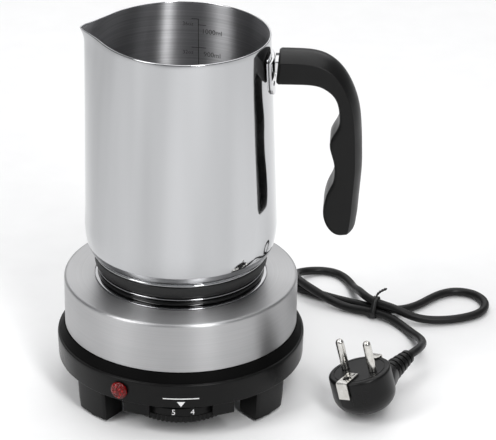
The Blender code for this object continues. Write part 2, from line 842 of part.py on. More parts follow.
def make_earth_clips(finish, frame):
    """Spring contacts at the edge of the plug's face, bent down over its side."""
    wall = PLUG_RADIUS + GAP
    skin = 0.0008
    clips = (("earth_clip_near_lead", 1, 0.0135, 0.0060), ("earth_clip_with_hole", -1, 0.0060, 0.0095))
    for name, side, reach, drop in clips:
        outline = [(reach, GAP), (wall, GAP), (wall, -drop), (wall + skin, -drop)]
        outline += [(wall + skin, GAP + skin), (reach, GAP + skin)]
        rings = [[(x, side * y, z) for y, z in outline] for x in (-CLIP_HALF_WIDTH, CLIP_HALF_WIDTH)]
        clip = add_object(name, loft_mesh(rings), finish, frame)
        if side < 0:
            hole = rod("earth_hole", 0.0024, 0.004, None, frame, (0, -0.0112, -0.0010))
            combine(clip, hole, "DIFFERENCE")


# Pot


def wall_radius(height):
    """Outer radius of the pot above its belly, where the wall tapers to the rim."""
    share = (height - POT_BELLY_HEIGHT) / (POT_RIM_HEIGHT - POT_BELLY_HEIGHT)
    return POT_BELLY_RADIUS + share * (POT_RIM_RADIUS - POT_BELLY_RADIUS)


def share_above(height, start):
    """0 up to a start height, then rising to 1 at the rim."""
    return max(0.0, (height - start) / (POT_RIM_HEIGHT - start))


def spout_offset(angle, height):
    """How far the spout moves the wall out, for an angle in degrees from the spout."""
    rise = share_above(height, SPOUT_START)
    flare = share_above(height, SPOUT_FLARE_START) ** 2
    hollow = SPOUT_HOLLOW * rise**2
    ridge = SPOUT_RIDGE * rise + (SPOUT_REACH - SPOUT_RIDGE) * flare + hollow
    width = SPOUT_SPREAD + SPOUT_SPREAD_BELOW * (1 - rise)
    peak = math.exp(-((abs(angle) / width) ** 1.5))
    flat = math.exp(-((abs(angle) / HOLLOW_SPREAD) ** 4))
    return ridge * peak - hollow * flat


def spout_lift(angle, height):
    """How far the wall's top rises towards the spout."""
    fade = math.exp(-((angle / LIFT_SPREAD) ** 2))
    return SPOUT_LIFT * share_above(height, SPOUT_LIFT_START) ** 2 * fade


def pot_angles():
    """Degrees round the pot, closer together at the spout, which points to -X."""
    spout = np.linspace(148, 212, 17)
    rest = np.linspace(212, 508, 32)[1:-1]
    return [*spout, *rest]


def pot_ring(radius, height):
    if radius == 0:
        return [(0, 0, height)]
    ring = []
    for angle in pot_angles():
        from_spout = math.remainder(angle - 180, 360)
        r = radius + spout_offset(from_spout, height)
        turn = math.radians(angle)
        lifted = height + spout_lift(from_spout, height)
        ring.append((r * math.cos(turn), r * math.sin(turn), lifted))
    return ring


def make_pot_body(finish, parent):
    """Thin-walled shell: flat floor, rounded foot, tapering wall and a pouring spout."""
    floor = POT_BOTTOM + BASE_DISC_HEIGHT + GAP
    foot = (
        (0.0500, floor),
        (0.0513, floor + 0.0010),
        (0.0536, floor + 0.0042),
        (0.0550, floor + 0.0090),
        (0.0557, floor + 0.0145),
    )
    heights = (POT_BELLY_HEIGHT, SPOUT_START, 0.140, 0.165, SPOUT_LIFT_START, 0.203)
    heights += (SPOUT_FLARE_START, 0.2170)
    wall = [(wall_radius(height), height) for height in heights]
    outline = [(0, floor), *foot, *wall]
    outline += [(POT_RIM_RADIUS, POT_RIM_HEIGHT - 0.0003), (POT_RIM_RADIUS - 0.0003, POT_RIM_HEIGHT)]
    outline += [(POT_RIM_RADIUS - POT_WALL, POT_RIM_HEIGHT - 0.0001)]
    outline += [(radius - POT_WALL, height) for radius, height in reversed(foot[3:] + tuple(wall))]
    outline += [(0.0518, floor + 0.0042), (0.0488, floor + POT_WALL), (0, floor + POT_WALL)]
    rings = [pot_ring(radius, height) for radius, height in outline]
    add_object("pot_body", loft_mesh(rings), finish, parent)


def make_pot_base(finish, parent):
    """Sandwich base that shows as a bright step at the pot's foot."""
    top = POT_BOTTOM + BASE_DISC_HEIGHT
    outline = (
        (0, POT_BOTTOM),
        (0.0500, POT_BOTTOM),
        (0.0511, POT_BOTTOM + 0.0009),
        (0.0503, top),
        (0, top),
    )
    turned("pot_base_disc", outline, finish, parent)


# Inner and outer edge of the grip, paired across it: (reach, height, reach, height)
GRIP_STATIONS = (
    (0.0540, 0.1948, 0.0554, 0.2119),
    (0.0660, 0.1950, 0.0660, 0.2120),
    (0.0734, 0.1949, 0.0760, 0.2113),
    (0.0785, 0.1940, 0.0830, 0.2090),
    (0.0822, 0.1922, 0.0885, 0.2052),
    (0.0855, 0.1896, 0.0931, 0.2000),
    (0.0879, 0.1863, 0.0967, 0.1938),
    (0.0894, 0.1820, 0.0996, 0.1866),
    (0.0901, 0.1770, 0.1016, 0.1786),
    (0.0901, 0.1720, 0.1025, 0.1718),
    (0.0880, 0.1666, 0.1030, 0.1655),
    (0.0855, 0.1615, 0.1033, 0.1600),
    (0.0853, 0.1570, 0.1035, 0.1550),
    (0.0866, 0.1520, 0.1037, 0.1502),
    (0.0880, 0.1465, 0.1038, 0.1450),
    (0.0882, 0.1410, 0.1037, 0.1400),
    (0.0874, 0.1355, 0.1034, 0.1350),
    (0.0850, 0.1300, 0.1031, 0.1300),
    (0.0832, 0.1240, 0.1027, 0.1245),
    (0.0824, 0.1175, 0.1024, 0.1190),
    (0.0833, 0.1115, 0.1020, 0.1138),
    (0.0861, 0.1062, 0.1014, 0.1090),
    (0.0893, 0.1036, 0.1007, 0.1053),
    (0.0938, 0.1022, 0.0990, 0.1028),
)


def grip_section(inner_reach, inner_height, outer_reach, outer_height):
    """Flat sides, a rounded inner edge and a crowned outer face."""
    inner = Vector((inner_reach, 0, inner_height))
    outer = Vector((outer_reach, 0, outer_height))
    depth = (outer - inner).length
    across = (outer - inner).normalized()
    crown = min(HANDLE_CROWN, 0.4 * depth)
    edge = min(0.0015, 0.2 * depth)
    width = HANDLE_HALF_WIDTH * min(1.0, depth / 0.010)
    half = ((width - edge, 0), (width, edge), (width, depth - crown))
    half += ((0.66 * width, depth - 0.42 * crown), (0.33 * width, depth - 0.10 * crown))
    profile = [*half, (0, depth), *((-side, up) for side, up in reversed(half))]
    return [inner + across * up + Vector((0, side, 0)) for side, up in profile]


def make_grip(finish, parent):
    rings = [grip_section(*station) for station in GRIP_STATIONS]
    grip = add_object("handle_grip", loft_mesh(rings), finish, parent)
    clearance = 2 * GAP
    pocket_size = (0.0300, STEM_WIDTH + clearance, STEM_THICKNESS + clearance)
    pocket = block("stem_pocket", pocket_size, None, parent, (0.0550, 0, STEM_HEIGHT))
    combine(grip, pocket, "DIFFERENCE")
    low = GRIP_UNDERSIDE - 0.0020
    depth = STEM_HEIGHT - STEM_THICKNESS / 2 - low + GAP
    hole = rod("grip_screw_hole", 0.0030, depth, None, parent, (SCREW_REACH, 0, low))
    combine(grip, hole, "DIFFERENCE")


def make_bracket(finish, parent):
    """A plate that hugs the pot's wall, rounded below, with a stem into the grip."""
    top, bottom, half, corner, thick = 0.2075, 0.1860, 0.0115, 0.0095, 0.0012
    rings = []
    for side in np.linspace(-half, half, 11):
        past = max(0.0, abs(side) - (half - corner))
        low = bottom + corner - math.sqrt(corner**2 - past**2) * 0.98
        turn = side / wall_radius(top)
        ring = []
        for height, lift in ((low, GAP), (top, GAP), (top, GAP + thick), (low, GAP + thick)):
            radius = wall_radius(height) + lift
            ring.append((radius * math.cos(turn), radius * math.sin(turn), height))
        rings.append(ring)
    bracket = add_object("handle_bracket", loft_mesh(rings), finish, parent)
    size = (0.0166, STEM_WIDTH, STEM_THICKNESS)
    combine(bracket, block("bracket_stem", size, None, parent, (0.0611, 0, STEM_HEIGHT)), "UNION")


def make_handle_screw(finish, parent):
    """Screw in a pocket on the grip's underside, up into the bracket's stem."""
    outline = (
        (0, SCREW_SEAT),
        (0.0025, SCREW_SEAT),
        (0.0026, SCREW_SEAT + 0.0010),
        (0.0012, SCREW_SEAT + 0.0017),
        (0.0012, SCREW_SEAT + 0.0022),
        (0, SCREW_SEAT + 0.0022),
    )
    turned("handle_screw", outline, finish, parent, (SCREW_REACH, 0, 0), segments=12)


def main():
    clear_scene()
    black = material("black_phenolic", (0.018, 0.018, 0.019), 0.42)
    brushed = material("brushed_steel", (0.56, 0.56, 0.57), 0.30, 1.0)
    polished = material("polished_steel", (0.72, 0.72, 0.73), 0.10, 1.0)
    iron = material("coated_iron", (0.022, 0.022, 0.023), 0.50, 0.3)
    zinc = material("zinc_plated_steel", (0.50, 0.51, 0.53), 0.35, 1.0)
    mica = material("mica", (0.55, 0.50, 0.42), 0.75)
    ceramic = material("ceramic", (0.78, 0.76, 0.70), 0.45)
    rubber = material("black_rubber", (0.030, 0.030, 0.032), 0.65)
    red = material("red_lens", (0.45, 0.010, 0.010), 0.12)
    glass = material("lamp_glass", (0.75, 0.45, 0.35), 0.08)
    wiring = {
        "plastic": material("terminal_nylon", (0.70, 0.70, 0.66), 0.50),
        "steel": zinc,
        "brown": material("brown_insulation", (0.16, 0.06, 0.03), 0.45),
        "blue": material("blue_insulation", (0.03, 0.10, 0.42), 0.45),
        "yellow": material("green_yellow_insulation", (0.35, 0.50, 0.03), 0.45),
    }
    nickel = material("nickel", (0.66, 0.64, 0.60), 0.22, 1.0)

    hot_plate = empty("hot_plate_axis", location=(AXIS_X, 0, 0))
    make_base_ring(black, hot_plate)
    make_bottom_cover(zinc, hot_plate)
    make_cover_screws(zinc, hot_plate)
    make_foot_pads(rubber, hot_plate)
    make_housing(brushed, hot_plate)
    make_trim_ring(brushed, hot_plate)
    make_heating_plate(iron, hot_plate)
    make_heater(zinc, mica, hot_plate)
    make_plate_fixing(zinc, hot_plate)
    make_thermostat(ceramic, zinc, hot_plate)
    make_indicator(red, glass, zinc, hot_plate)
    make_wiring(wiring, hot_plate)

    make_gland(rubber, hot_plate)
    tube("power_cord", smooth_path(CORD_ROUTE, CORD_SPACING), CORD_RADIUS, rubber, hot_plate)
    make_cord_tie(rubber, hot_plate)
    frame = plug_frame(hot_plate)
    make_plug_body(rubber, frame)
    make_plug_boot(rubber, frame)
    make_plug_pins(nickel, frame)
    make_earth_clips(nickel, frame)

    dial = empty("dial_axis", hot_plate, (0, -DIAL_OFFSET, 0))
    make_dial(black, zinc, dial)

    pot = empty("pot_axis", hot_plate, turn=POT_TURN)
    make_pot_body(polished, pot)
    make_pot_base(polished, pot)
    make_grip(black, pot)
    make_bracket(polished, pot)
    make_handle_screw(zinc, pot)


main()
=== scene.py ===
"""Looks of the candle melting pot and its hot plate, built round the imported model.

Lengths are in metres, +Z is up and the camera side is -Y. Pieces that are round about the
hot plate's axis are modelled about their own origin, which then goes on that axis.
"""

from math import cos, degrees, exp, hypot, pi, radians, sin, sqrt

import bmesh
import bpy
import numpy as np
from mathutils import Matrix, Vector


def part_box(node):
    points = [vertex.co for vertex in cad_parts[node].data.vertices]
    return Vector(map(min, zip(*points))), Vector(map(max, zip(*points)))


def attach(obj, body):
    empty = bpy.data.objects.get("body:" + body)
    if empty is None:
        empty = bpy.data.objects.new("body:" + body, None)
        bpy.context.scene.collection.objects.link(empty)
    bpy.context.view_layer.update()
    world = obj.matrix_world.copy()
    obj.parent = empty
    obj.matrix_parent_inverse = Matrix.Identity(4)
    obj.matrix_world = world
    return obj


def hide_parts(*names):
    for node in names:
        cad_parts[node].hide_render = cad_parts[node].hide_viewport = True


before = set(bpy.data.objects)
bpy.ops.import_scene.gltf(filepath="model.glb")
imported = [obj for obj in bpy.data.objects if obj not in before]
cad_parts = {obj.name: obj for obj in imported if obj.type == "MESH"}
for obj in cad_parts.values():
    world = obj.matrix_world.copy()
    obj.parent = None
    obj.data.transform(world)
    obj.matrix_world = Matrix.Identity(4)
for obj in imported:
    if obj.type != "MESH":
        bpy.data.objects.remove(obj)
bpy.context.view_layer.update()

# Sizes and places that the frame gives


def radius_of(node):
    low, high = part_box(node)
    return (high.x - low.x) / 2


def floor_of(node):
    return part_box(node)[0].z


def top_of(node):
    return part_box(node)[1].z


GAP = 0.0003
link = bpy.context.scene.collection.objects.link
HOUSING_LOW, HOUSING_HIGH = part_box("housing_shell")
AXIS = Vector(((HOUSING_LOW.x + HOUSING_HIGH.x) / 2, 0, 0))
HOUSING_RADIUS = radius_of("housing_shell")
RING_RADIUS = radius_of("base_ring")
PLATE_RADIUS = radius_of("heating_plate")
PLATE_BOTTOM = floor_of("heating_plate")
PLATE_TOP = top_of("heating_plate")
DIAL_LOW, DIAL_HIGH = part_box("control_dial")
DIAL_CENTRE = Vector((AXIS.x, (DIAL_LOW.y + DIAL_HIGH.y) / 2, 0))
DIAL_RADIUS = radius_of("control_dial")
POT_FLOOR = floor_of("pot_body")
POT_FOOT = floor_of("pot_base_disc")
POT_FOOT_RADIUS = radius_of("pot_base_disc")

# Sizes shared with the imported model
LIP_HEIGHT = 0.0335
RING_BOTTOM = 0.02
RING_FOOT_RADIUS = 0.0726
WEB_BOTTOM = 0.0216
WEB_TOP = 0.0236
LEG_ANGLES = (48, 132, 228, 312)
LEG_HALF_ANGLE = 9.8
LEG_INNER = 0.0555
PAD_RADIUS = 0.0062
PAD_ORBIT = 0.0628
GUARD_ANGLES = ((-27, -14.5), (14.5, 25))
SCREW_ORBIT = 0.052
SCREW_ANGLES = (45, 135, 225, 315)
INDICATOR_ANGLE = -28.6
INDICATOR_HEIGHT = 0.0273
GLAND_ANGLE = 168
GLAND_HEIGHT = 0.029
GLAND_LENGTH = 0.0265
POT_TURN = -5
BELLY_HEIGHT = 0.105
BELLY_RADIUS = 0.0558
RIM_RADIUS = 0.0506
POT_WALL = 0.001
SPOUT_START = 0.115
SPOUT_FLARE_START = 0.212
SPOUT_REACH = 0.0066
SPOUT_RIDGE = 0.004
SPOUT_HOLLOW = 0.003
SPOUT_LIFT = 0.0015
SPOUT_LIFT_START = 0.19
SPOUT_SPREAD = 13.3
SPOUT_SPREAD_BELOW = 26
HOLLOW_SPREAD = 70
LIFT_SPREAD = 72
POT_RIM = top_of("pot_body") - SPOUT_LIFT
GRIP_HALF_WIDTH = 0.012
GRIP_CROWN = 0.004
STEM_HEIGHT = 0.204
CORD_RADIUS = 0.0026
TIE_CENTRE = (0.1228, 0.0766, 0.0059)
TIE_HEADING = -23
TIE_STRANDS = ((0.0028, -0.0018), (0.0002, 0.0037), (-0.0032, -0.0018))
PIN_SPACING = 0.019
PIN_RADIUS = 0.0024
PIN_LENGTH = 0.019
PLUG_RADIUS = 0.0184
PLUG_HEADING = 54
PLUG_PITCH = 4
PLUG_ROLL = 14
PLUG_CABLE_DEPTH = 0.016
PLUG_NECK_END = 0.028
PLUG_BOOT_TIP = 0.05

# The lead's route round the hot plate's axis, from the gland's tip to the plug's boot, in
# tenths of a millimetre
CORD_ROUTE = np.array((
    (207, 976, 290), (236, 1100, 274), (310, 1210, 207), (435, 1260, 110), (575, 1210, 44),
    (700, 1126, 29), (810, 1054, 29), (920, 984, 29), (1030, 914, 31), (1140, 844, 38), (1235, 793, 41),
    (1330, 774, 38), (1430, 805, 31), (1530, 880, 29), (1626, 974, 29), (1749, 1037, 29),
    (1860, 1012, 29), (1932, 901, 29), (1898, 766, 29), (1782, 686, 29), (1625, 650, 30),
    (1470, 656, 46), (1332, 704, 86), (1230, 766, 96), (1170, 842, 98), (1138, 945, 82),
    (1115, 1060, 46), (1080, 1200, 30), (1003, 1306, 29), (901, 1336, 30), (778, 1276, 50),
    (740, 1155, 84), (775, 1045, 94), (845, 955, 86), (940, 883, 56), (1060, 814, 34), (1212, 738, 41),
    (1310, 671, 36), (1380, 580, 29), (1432, 470, 36), (1463, 350, 66), (1470, 230, 102),
    (1452, 118, 138), (1415, 23, 161), (1365, -45, 165),
)) / 10000

# Inner and outer edge of the grip, paired across it, in tenths of a millimetre: (reach,
# height, reach, height)
GRIP_STATIONS = np.array((
    (540, 1948, 554, 2119), (660, 1950, 660, 2120), (734, 1949, 760, 2113), (785, 1940, 830, 2090),
    (822, 1922, 885, 2052), (855, 1896, 931, 2000), (879, 1863, 967, 1938), (894, 1820, 996, 1866),
    (901, 1770, 1016, 1786), (901, 1720, 1025, 1718), (880, 1666, 1030, 1655), (855, 1615, 1033, 1600),
    (853, 1570, 1035, 1550), (866, 1520, 1037, 1502), (880, 1465, 1038, 1450), (882, 1410, 1037, 1400),
    (874, 1355, 1034, 1350), (850, 1300, 1031, 1300), (832, 1240, 1027, 1245), (824, 1175, 1024, 1190),
    (833, 1115, 1020, 1138), (861, 1062, 1014, 1090), (893, 1036, 1007, 1053), (938, 1022, 990, 1028),
)) / 10000


# Camera and light

CAMERA_PLACE = (AXIS.x, -1.2069, 0.6828)
CAMERA_LENS = 167.1
CAMERA_TILT = 90 - 25.63
CAMERA_PAN = -1.667

# Name, azimuth from -Y to +X, elevation, distance, size and radiance of each light
SOFTBOXES = (
    ("key", 25, 42, 1.7, (0.28, 1.4), 12.5),
    ("side", -60, 40, 1.7, (0.62, 1.4), 5.4),
    ("overhead", 150, 74, 1.6, (1.4, 1.4), 2.1),
    ("back", 180, 34, 2.0, (2.4, 1.2), 1.2),
)
LIGHT_TARGET = AXIS + Vector((0, 0, 0.12))
WORLD_COLOUR = (0.96, 0.97, 1.0, 1)
WORLD_STRENGTH = 0.24


def make_camera():
    """The view from the front and above, turned a little to the right of the hot plate."""
    data = bpy.data.cameras.new("camera")
    data.lens = CAMERA_LENS
    data.sensor_width = 36
    data.clip_start = 0.05
    camera = bpy.data.objects.new("camera", data)
    turn = turn_by(CAMERA_TILT, "X") @ turn_by(CAMERA_PAN, "Y")
    camera.matrix_world = Matrix.Translation(CAMERA_PLACE) @ turn
    link(camera)
    bpy.context.scene.camera = camera


def make_softbox(name, azimuth, elevation, distance, size, radiance):
    """A rectangular light that faces the object."""
    data = bpy.data.lights.new(name, "AREA")
    data.shape = "RECTANGLE"
    data.size, data.size_y = size
    data.energy = radiance * pi * size[0] * size[1]
    turn, rise = radians(azimuth), radians(elevation)
    away = Vector((sin(turn) * cos(rise), -cos(turn) * cos(rise), sin(rise)))
    light = bpy.data.objects.new(name, data)
    light.location = LIGHT_TARGET + away * distance
    light.rotation_euler = away.to_track_quat("Z", "Y").to_euler()
    light.visible_camera = False
    link(light)


def make_studio():
    """Pale floor, even surrounding light and the softboxes."""
    world = bpy.data.worlds.new("studio")
    world.use_nodes = True
    background = world.node_tree.nodes["Background"]
    background.inputs["Color"].default_value = WORLD_COLOUR
    background.inputs["Strength"].default_value = WORLD_STRENGTH
    bpy.context.scene.world = world
    bpy.context.scene.view_settings.view_transform = "Standard"
    for settings in SOFTBOXES:
        make_softbox(*settings)
    bm = bmesh.new()
    bmesh.ops.create_grid(bm, x_segments=8, y_segments=8, size=3.0)
    mesh = bpy.data.meshes.new("floor")
    bm.to_mesh(mesh)
    bm.free()
    floor = bpy.data.objects.new("floor", mesh)
    floor.location = (AXIS.x, 0, -0.0002)
    mesh.materials.append(floor_paper())
    link(floor)


# Finishes


class Finish:
    """A material in the making, with its Principled shader and patterns in object space."""

    def __init__(self, name, colour, roughness, metallic=0.0, **sockets):
        self.material = bpy.data.materials.new(name)
        self.material.use_nodes = True
        self.tree = self.material.node_tree
        self.shader = self.tree.nodes["Principled BSDF"]
        self.shader.inputs["Base Color"].default_value = (*colour, 1)
        self.shader.inputs["Roughness"].default_value = roughness
        self.shader.inputs["Metallic"].default_value = metallic
        for key, value in sockets.items():
            self.shader.inputs[key.replace("_", " ")].default_value = value
        self.place = self.add("TexCoord").outputs["Object"]

    def add(self, kind, inputs=None, **settings):
        """A node with its settings, and its inputs set to a value or linked to a socket."""
        made = self.tree.nodes.new("ShaderNode" + kind)
        for name, value in settings.items():
            setattr(made, name, value)
        for key, value in (inputs or {}).items():
            if isinstance(value, bpy.types.NodeSocket):
                self.tree.links.new(value, made.inputs[key])
            else:
                made.inputs[key].default_value = value
        return made

    def math(self, operation, first, second):
        return self.add("Math", {0: first, 1: second}, operation=operation).outputs[0]

    def vector_math(self, operation, *vectors, output="Vector"):
        return self.add("VectorMath", dict(enumerate(vectors)), operation=operation).outputs[output]

    def noise(self, scale, detail=3.0, roughness=0.55, place=None):
        inputs = {"Vector": place or self.place, "Scale": scale, "Detail": detail, "Roughness": roughness}
        return self.add("TexNoise", inputs).outputs["Fac"]

    def stretched(self, scales):
        return self.add("Mapping", {"Vector": self.place, "Scale": scales}).outputs["Vector"]

    def streaks(self, scales, detail):
        """Noise with a scale of its own along each axis."""
        return self.noise(1.0, detail, place=self.stretched(scales))

    def cells(self, scale, output, **settings):
        return self.add("TexVoronoi", {"Vector": self.place, "Scale": scale}, **settings).outputs[output]

    def brush_lines(self, fineness):
        """Noise in thin lines that run round the object's own Z axis."""
        flat = self.vector_math("MULTIPLY", self.place, (1, 1, 0))
        out = self.vector_math("LENGTH", flat, output="Value")
        up = self.add("SeparateXYZ", {"Vector": self.place}).outputs["Z"]
        across = self.math("MULTIPLY", self.math("ADD", out, up), fineness)
        inputs = {"Vector": self.stretched((9, 9, 9)), "W": across, "Scale": 1.0}
        inputs.update({"Detail": 3.0, "Roughness": 0.6})
        return self.add("TexNoise", inputs, noise_dimensions="4D").outputs["Fac"]

    def across_lines(self):
        """The direction on the surface that crosses lines round the object's own Z axis."""
        parts = self.add("SeparateXYZ", {"Vector": self.place}).outputs
        inputs = {"X": self.math("MULTIPLY", parts["Y"], -1.0), "Y": parts["X"], "Z": 0.0}
        around = self.add("CombineXYZ", inputs).outputs[0]
        settings = {"vector_type": "VECTOR", "convert_from": "OBJECT", "convert_to": "WORLD"}
        world = self.add("VectorTransform", {"Vector": around}, **settings).outputs[0]
        normal = self.add("NewGeometry").outputs["Normal"]
        return self.vector_math("NORMALIZE", self.vector_math("CROSS_PRODUCT", normal, world))

    def colour(self, value, dark, light):
        """Base colour between two, by a value that mostly lies between 0.3 and 0.7."""
        ramp = self.add("ValToRGB", {"Fac": value})
        for stop, position, colour in zip(ramp.color_ramp.elements, (0.3, 0.7), (dark, light)):
            stop.position = position
            stop.color = (*colour, 1)
        self.tree.links.new(ramp.outputs["Color"], self.shader.inputs["Base Color"])

    def gloss(self, value, low, high, start=0.3, end=0.7):
        """Roughness from low to high, as a value goes from start to end."""
        inputs = {"Value": value, "From Min": start, "From Max": end, "To Min": low, "To Max": high}
        self.tree.links.new(self.add("MapRange", inputs).outputs["Result"], self.shader.inputs["Roughness"])

    def relief(self, height, distance, strength=1.0):
        """Bump on the shader, on top of any bump that it has already."""
        inputs = {"Height": height, "Distance": distance, "Strength": strength}
        normal = self.shader.inputs["Normal"]
        if normal.is_linked:
            inputs["Normal"] = normal.links[0].from_socket
        self.tree.links.new(self.add("Bump", inputs).outputs["Normal"], normal)

    def dressed(self, value, dark, light, rough, *reliefs):
        """The finished material: colour and gloss that follow one value, and its reliefs."""
        self.colour(value, dark, light)
        self.gloss(value, *rough)
        for settings in reliefs:
            self.relief(*settings)
        return self.material


def grey(level):
    return (level,) * 3


def tint(colour, factor):
    return tuple(channel * factor for channel in colour)


def floor_paper():
    made = Finish("floor_paper", grey(0.86), 0.75)
    made.colour(made.noise(40), grey(0.855), grey(0.875))
    return made.material


def brushed_steel(name, colour, rough, anisotropy, fineness=2400.0, contrast=0.07):
    """Steel with brush lines round its axis, which spread each reflection across them."""
    made = Finish(name, colour, rough[0], 1.0, Anisotropic=anisotropy)
    lines = made.brush_lines(fineness)
    made.colour(lines, tint(colour, 1 - contrast), tint(colour, 1 + contrast))
    made.gloss(made.math("ADD", lines, made.noise(26, 2.0)), *rough, 0.7, 1.3)
    made.tree.links.new(made.across_lines(), made.shader.inputs["Tangent"])
    made.relief(lines, 0.000006)
    return made.material


def polished_steel(name, colour=(0.52, 0.525, 0.535)):
    """Mirror finish with faint polishing swirls, smudges, painted vertical reflection streaks in its colour
    and a slow waviness of the sheet.
    """
    made = Finish(name, colour, 0.06, 1.0)
    polish = made.streaks((260, 260, 2600), 2.0)
    made.gloss(made.math("ADD", made.noise(34, 4.0), polish), 0.045, 0.11, 0.75, 1.3)
    # Long vertical bands of lighter and darker colour: painted reflection streaks.
    made.colour(made.streaks((30, 30, 1.5), 2.0), tint(colour, 0.8), tint(colour, 1.08))
    made.relief(made.streaks((30, 30, 8), 1.0), 0.0001, 0.35)
    made.relief(polish, 0.0000015)
    return made.material


def moulded_black(name, level, rough, grain, depth, specular):
    """Black plastic with a fine moulded grain and uneven gloss."""
    made = Finish(name, grey(level), rough[0], Specular_IOR_Level=specular)
    shades = tint(grey(level), 0.82), tint(grey(level), 1.22)
    return made.dressed(made.noise(55), *shades, rough, (made.noise(grain, 2.0), depth, 0.7))


def coated_iron():
    """Cast iron under a black heat-resistant coat: coarse skin with small pits."""
    made = Finish("coated_iron", grey(0.01), 0.5, Specular_IOR_Level=0.35)
    coarse = made.noise(900, 4.0, 0.7)
    reliefs = (coarse, 0.00012, 0.8), (made.cells(700.0, "Distance"), 0.00005, 0.6)
    return made.dressed(coarse, grey(0.007), grey(0.018), (0.38, 0.62), *reliefs)


def cord_pvc():
    """Satin PVC with a fine skin and dust-dull patches."""
    made = Finish("cord_pvc", grey(0.006), 0.4, Specular_IOR_Level=0.26)
    skin = (made.noise(1500, 2.0), 0.00003, 0.6)
    return made.dressed(made.noise(120, 4.0), grey(0.0045), grey(0.01), (0.34, 0.52), skin)


def red_lens():
    """Clear red moulding over a lamp, with its fine inner pattern as relief."""
    sockets = {"Coat_Weight": 0.2, "Coat_Roughness": 0.03, "Specular_IOR_Level": 0.25}
    made = Finish("red_lens", (0.22, 0.003, 0.003), 0.12, **sockets)
    prisms = made.cells(520.0, "Distance", distance="MANHATTAN")
    shades = (0.3, 0.004, 0.004), (0.09, 0.001, 0.001)
    return made.dressed(prisms, *shades, (0.08, 0.2), (prisms, 0.0002, 0.25))


def nickel():
    """Nickel-plated brass with fine scratches along the pins."""
    made = Finish("nickel", (0.66, 0.645, 0.61), 0.2, 1.0)
    scratches = made.streaks((300, 2500, 300), 3.0)
    made.colour(made.noise(200), (0.58, 0.565, 0.53), (0.72, 0.71, 0.68))
    made.gloss(scratches, 0.14, 0.3)
    made.relief(scratches, 0.000006)
    return made.material


def zinc():
    """Zinc plating: crystal-like patches of lighter and darker grey."""
    made = Finish("zinc_plating", (0.5, 0.51, 0.53), 0.35, 1.0)
    spangle = made.add("SeparateXYZ", {"Vector": made.cells(380.0, "Color")}).outputs["X"]
    shades = (0.42, 0.43, 0.45), (0.56, 0.57, 0.59)
    return made.dressed(spangle, *shades, (0.28, 0.44), (made.noise(1200), 0.00001))


def plain_matter(name, dark, light, rough, grain, depth, metallic=0.0):
    """A mottled everyday material: colour, gloss and relief from two noises."""
    made = Finish(name, light, rough[0], metallic)
    return made.dressed(made.noise(grain, 4.0), dark, light, rough, (made.noise(4 * grain), depth, 0.7))


def etched_mark(name, dark, light):
    return plain_matter(name, grey(dark), grey(light), (0.5, 0.7), 1500, 0.00001)


# Mesh helpers


def linked_object(name, bm):
    """An object with a mesh, its faces turned outward, in the scene's collection."""
    bmesh.ops.recalc_face_normals(bm, faces=bm.faces[:])
    mesh = bpy.data.meshes.new(name)
    bm.to_mesh(mesh)
    bm.free()
    made = bpy.data.objects.new(name, mesh)
    link(made)
    return made


def add_piece(name, bm, finishes, body, node=None, location=AXIS, turn=0, sharp=32, matrix=None):
    """A piece that rides on a body, takes its finish from a slot and replaces a CAD node."""
    made = linked_object(name, bm)
    for finish in finishes:
        made.data.materials.append(finish)
    smooth(made.data, sharp)
    made.location = location
    made.rotation_euler.z = radians(turn)
    if matrix is not None:
        made.matrix_world = matrix
    bpy.context.view_layer.update()
    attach(made, body)
    if node:
        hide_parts(node)
    return made


def smooth(mesh, sharp=32):
    mesh.shade_smooth()
    mesh.set_sharp_from_angle(angle=radians(sharp))


def bridge(bm, first, second, slot=0):
    """Faces between two rings, where a ring of one vertex closes to a point."""
    count = max(len(first), len(second))
    for i in range(count):
        j = (i + 1) % count
        corners = [first[i % len(first)], first[j % len(first)]]
        corners += [second[j % len(second)], second[i % len(second)]]
        unique = list(dict.fromkeys(corners))
        if len(unique) > 2:
            bm.faces.new(unique).material_index = slot


def loft(rings, closed=False, slots=None):
    """A skin over rings of points, with flat ends, or joined end to start when closed."""
    bm = bmesh.new()
    made = [[bm.verts.new(point) for point in ring] for ring in rings]
    for index, (first, second) in enumerate(zip(made, made[1:])):
        bridge(bm, first, second, slots[index] if slots else 0)
    if closed:
        bridge(bm, made[-1], made[0])
    else:
        for end in (made[0], made[-1]):
            if len(end) > 2:
                bm.faces.new(end)
    return bm


def rounded(corners, steps=5):
    """An outline from (out, up, cut) corners, each rounded from a distance cut on both sides."""
    points = []
    for i, (out, up, cut) in enumerate(corners):
        corner = Vector((out, up))
        if not cut:
            points.append(tuple(corner))
            continue
        before = Vector(corners[i - 1][:2]) - corner
        after = Vector(corners[(i + 1) % len(corners)][:2]) - corner
        first = corner + before.normalized() * min(cut, 0.48 * before.length)
        last = corner + after.normalized() * min(cut, 0.48 * after.length)
        for step in range(steps + 1):
            t = step / steps
            points.append(tuple((1 - t) ** 2 * first + 2 * t * (1 - t) * corner + t**2 * last))
    return points


def ring_points(out, up, segments, shape=None):
    """Points round the Z axis. shape(angle, out, up) gives a point its own distance out."""
    if out < 1e-7:
        return [(0, 0, up)]
    points = []
    for i in range(segments):
        angle = 2 * pi * i / segments
        reach = shape(angle, out, up) if shape else out
        points.append((reach * cos(angle), reach * sin(angle), up))
    return points


def turned_mesh(outline, segments, shape=None, slots=None):
    rings = [ring_points(out, up, segments, shape) for out, up in outline]
    closed = outline[0][0] > 1e-7 and outline[-1][0] > 1e-7
    return loft(rings, closed, slots)


def box_mesh(size, bevel, centre=(0, 0, 0)):
    bm = bmesh.new()
    bmesh.ops.create_cube(bm, size=1)
    bmesh.ops.scale(bm, vec=size, verts=bm.verts)
    bmesh.ops.bevel(bm, geom=bm.edges[:], offset=bevel, segments=3, profile=0.5, affect="EDGES")
    bmesh.ops.translate(bm, vec=centre, verts=bm.verts)
    return bm


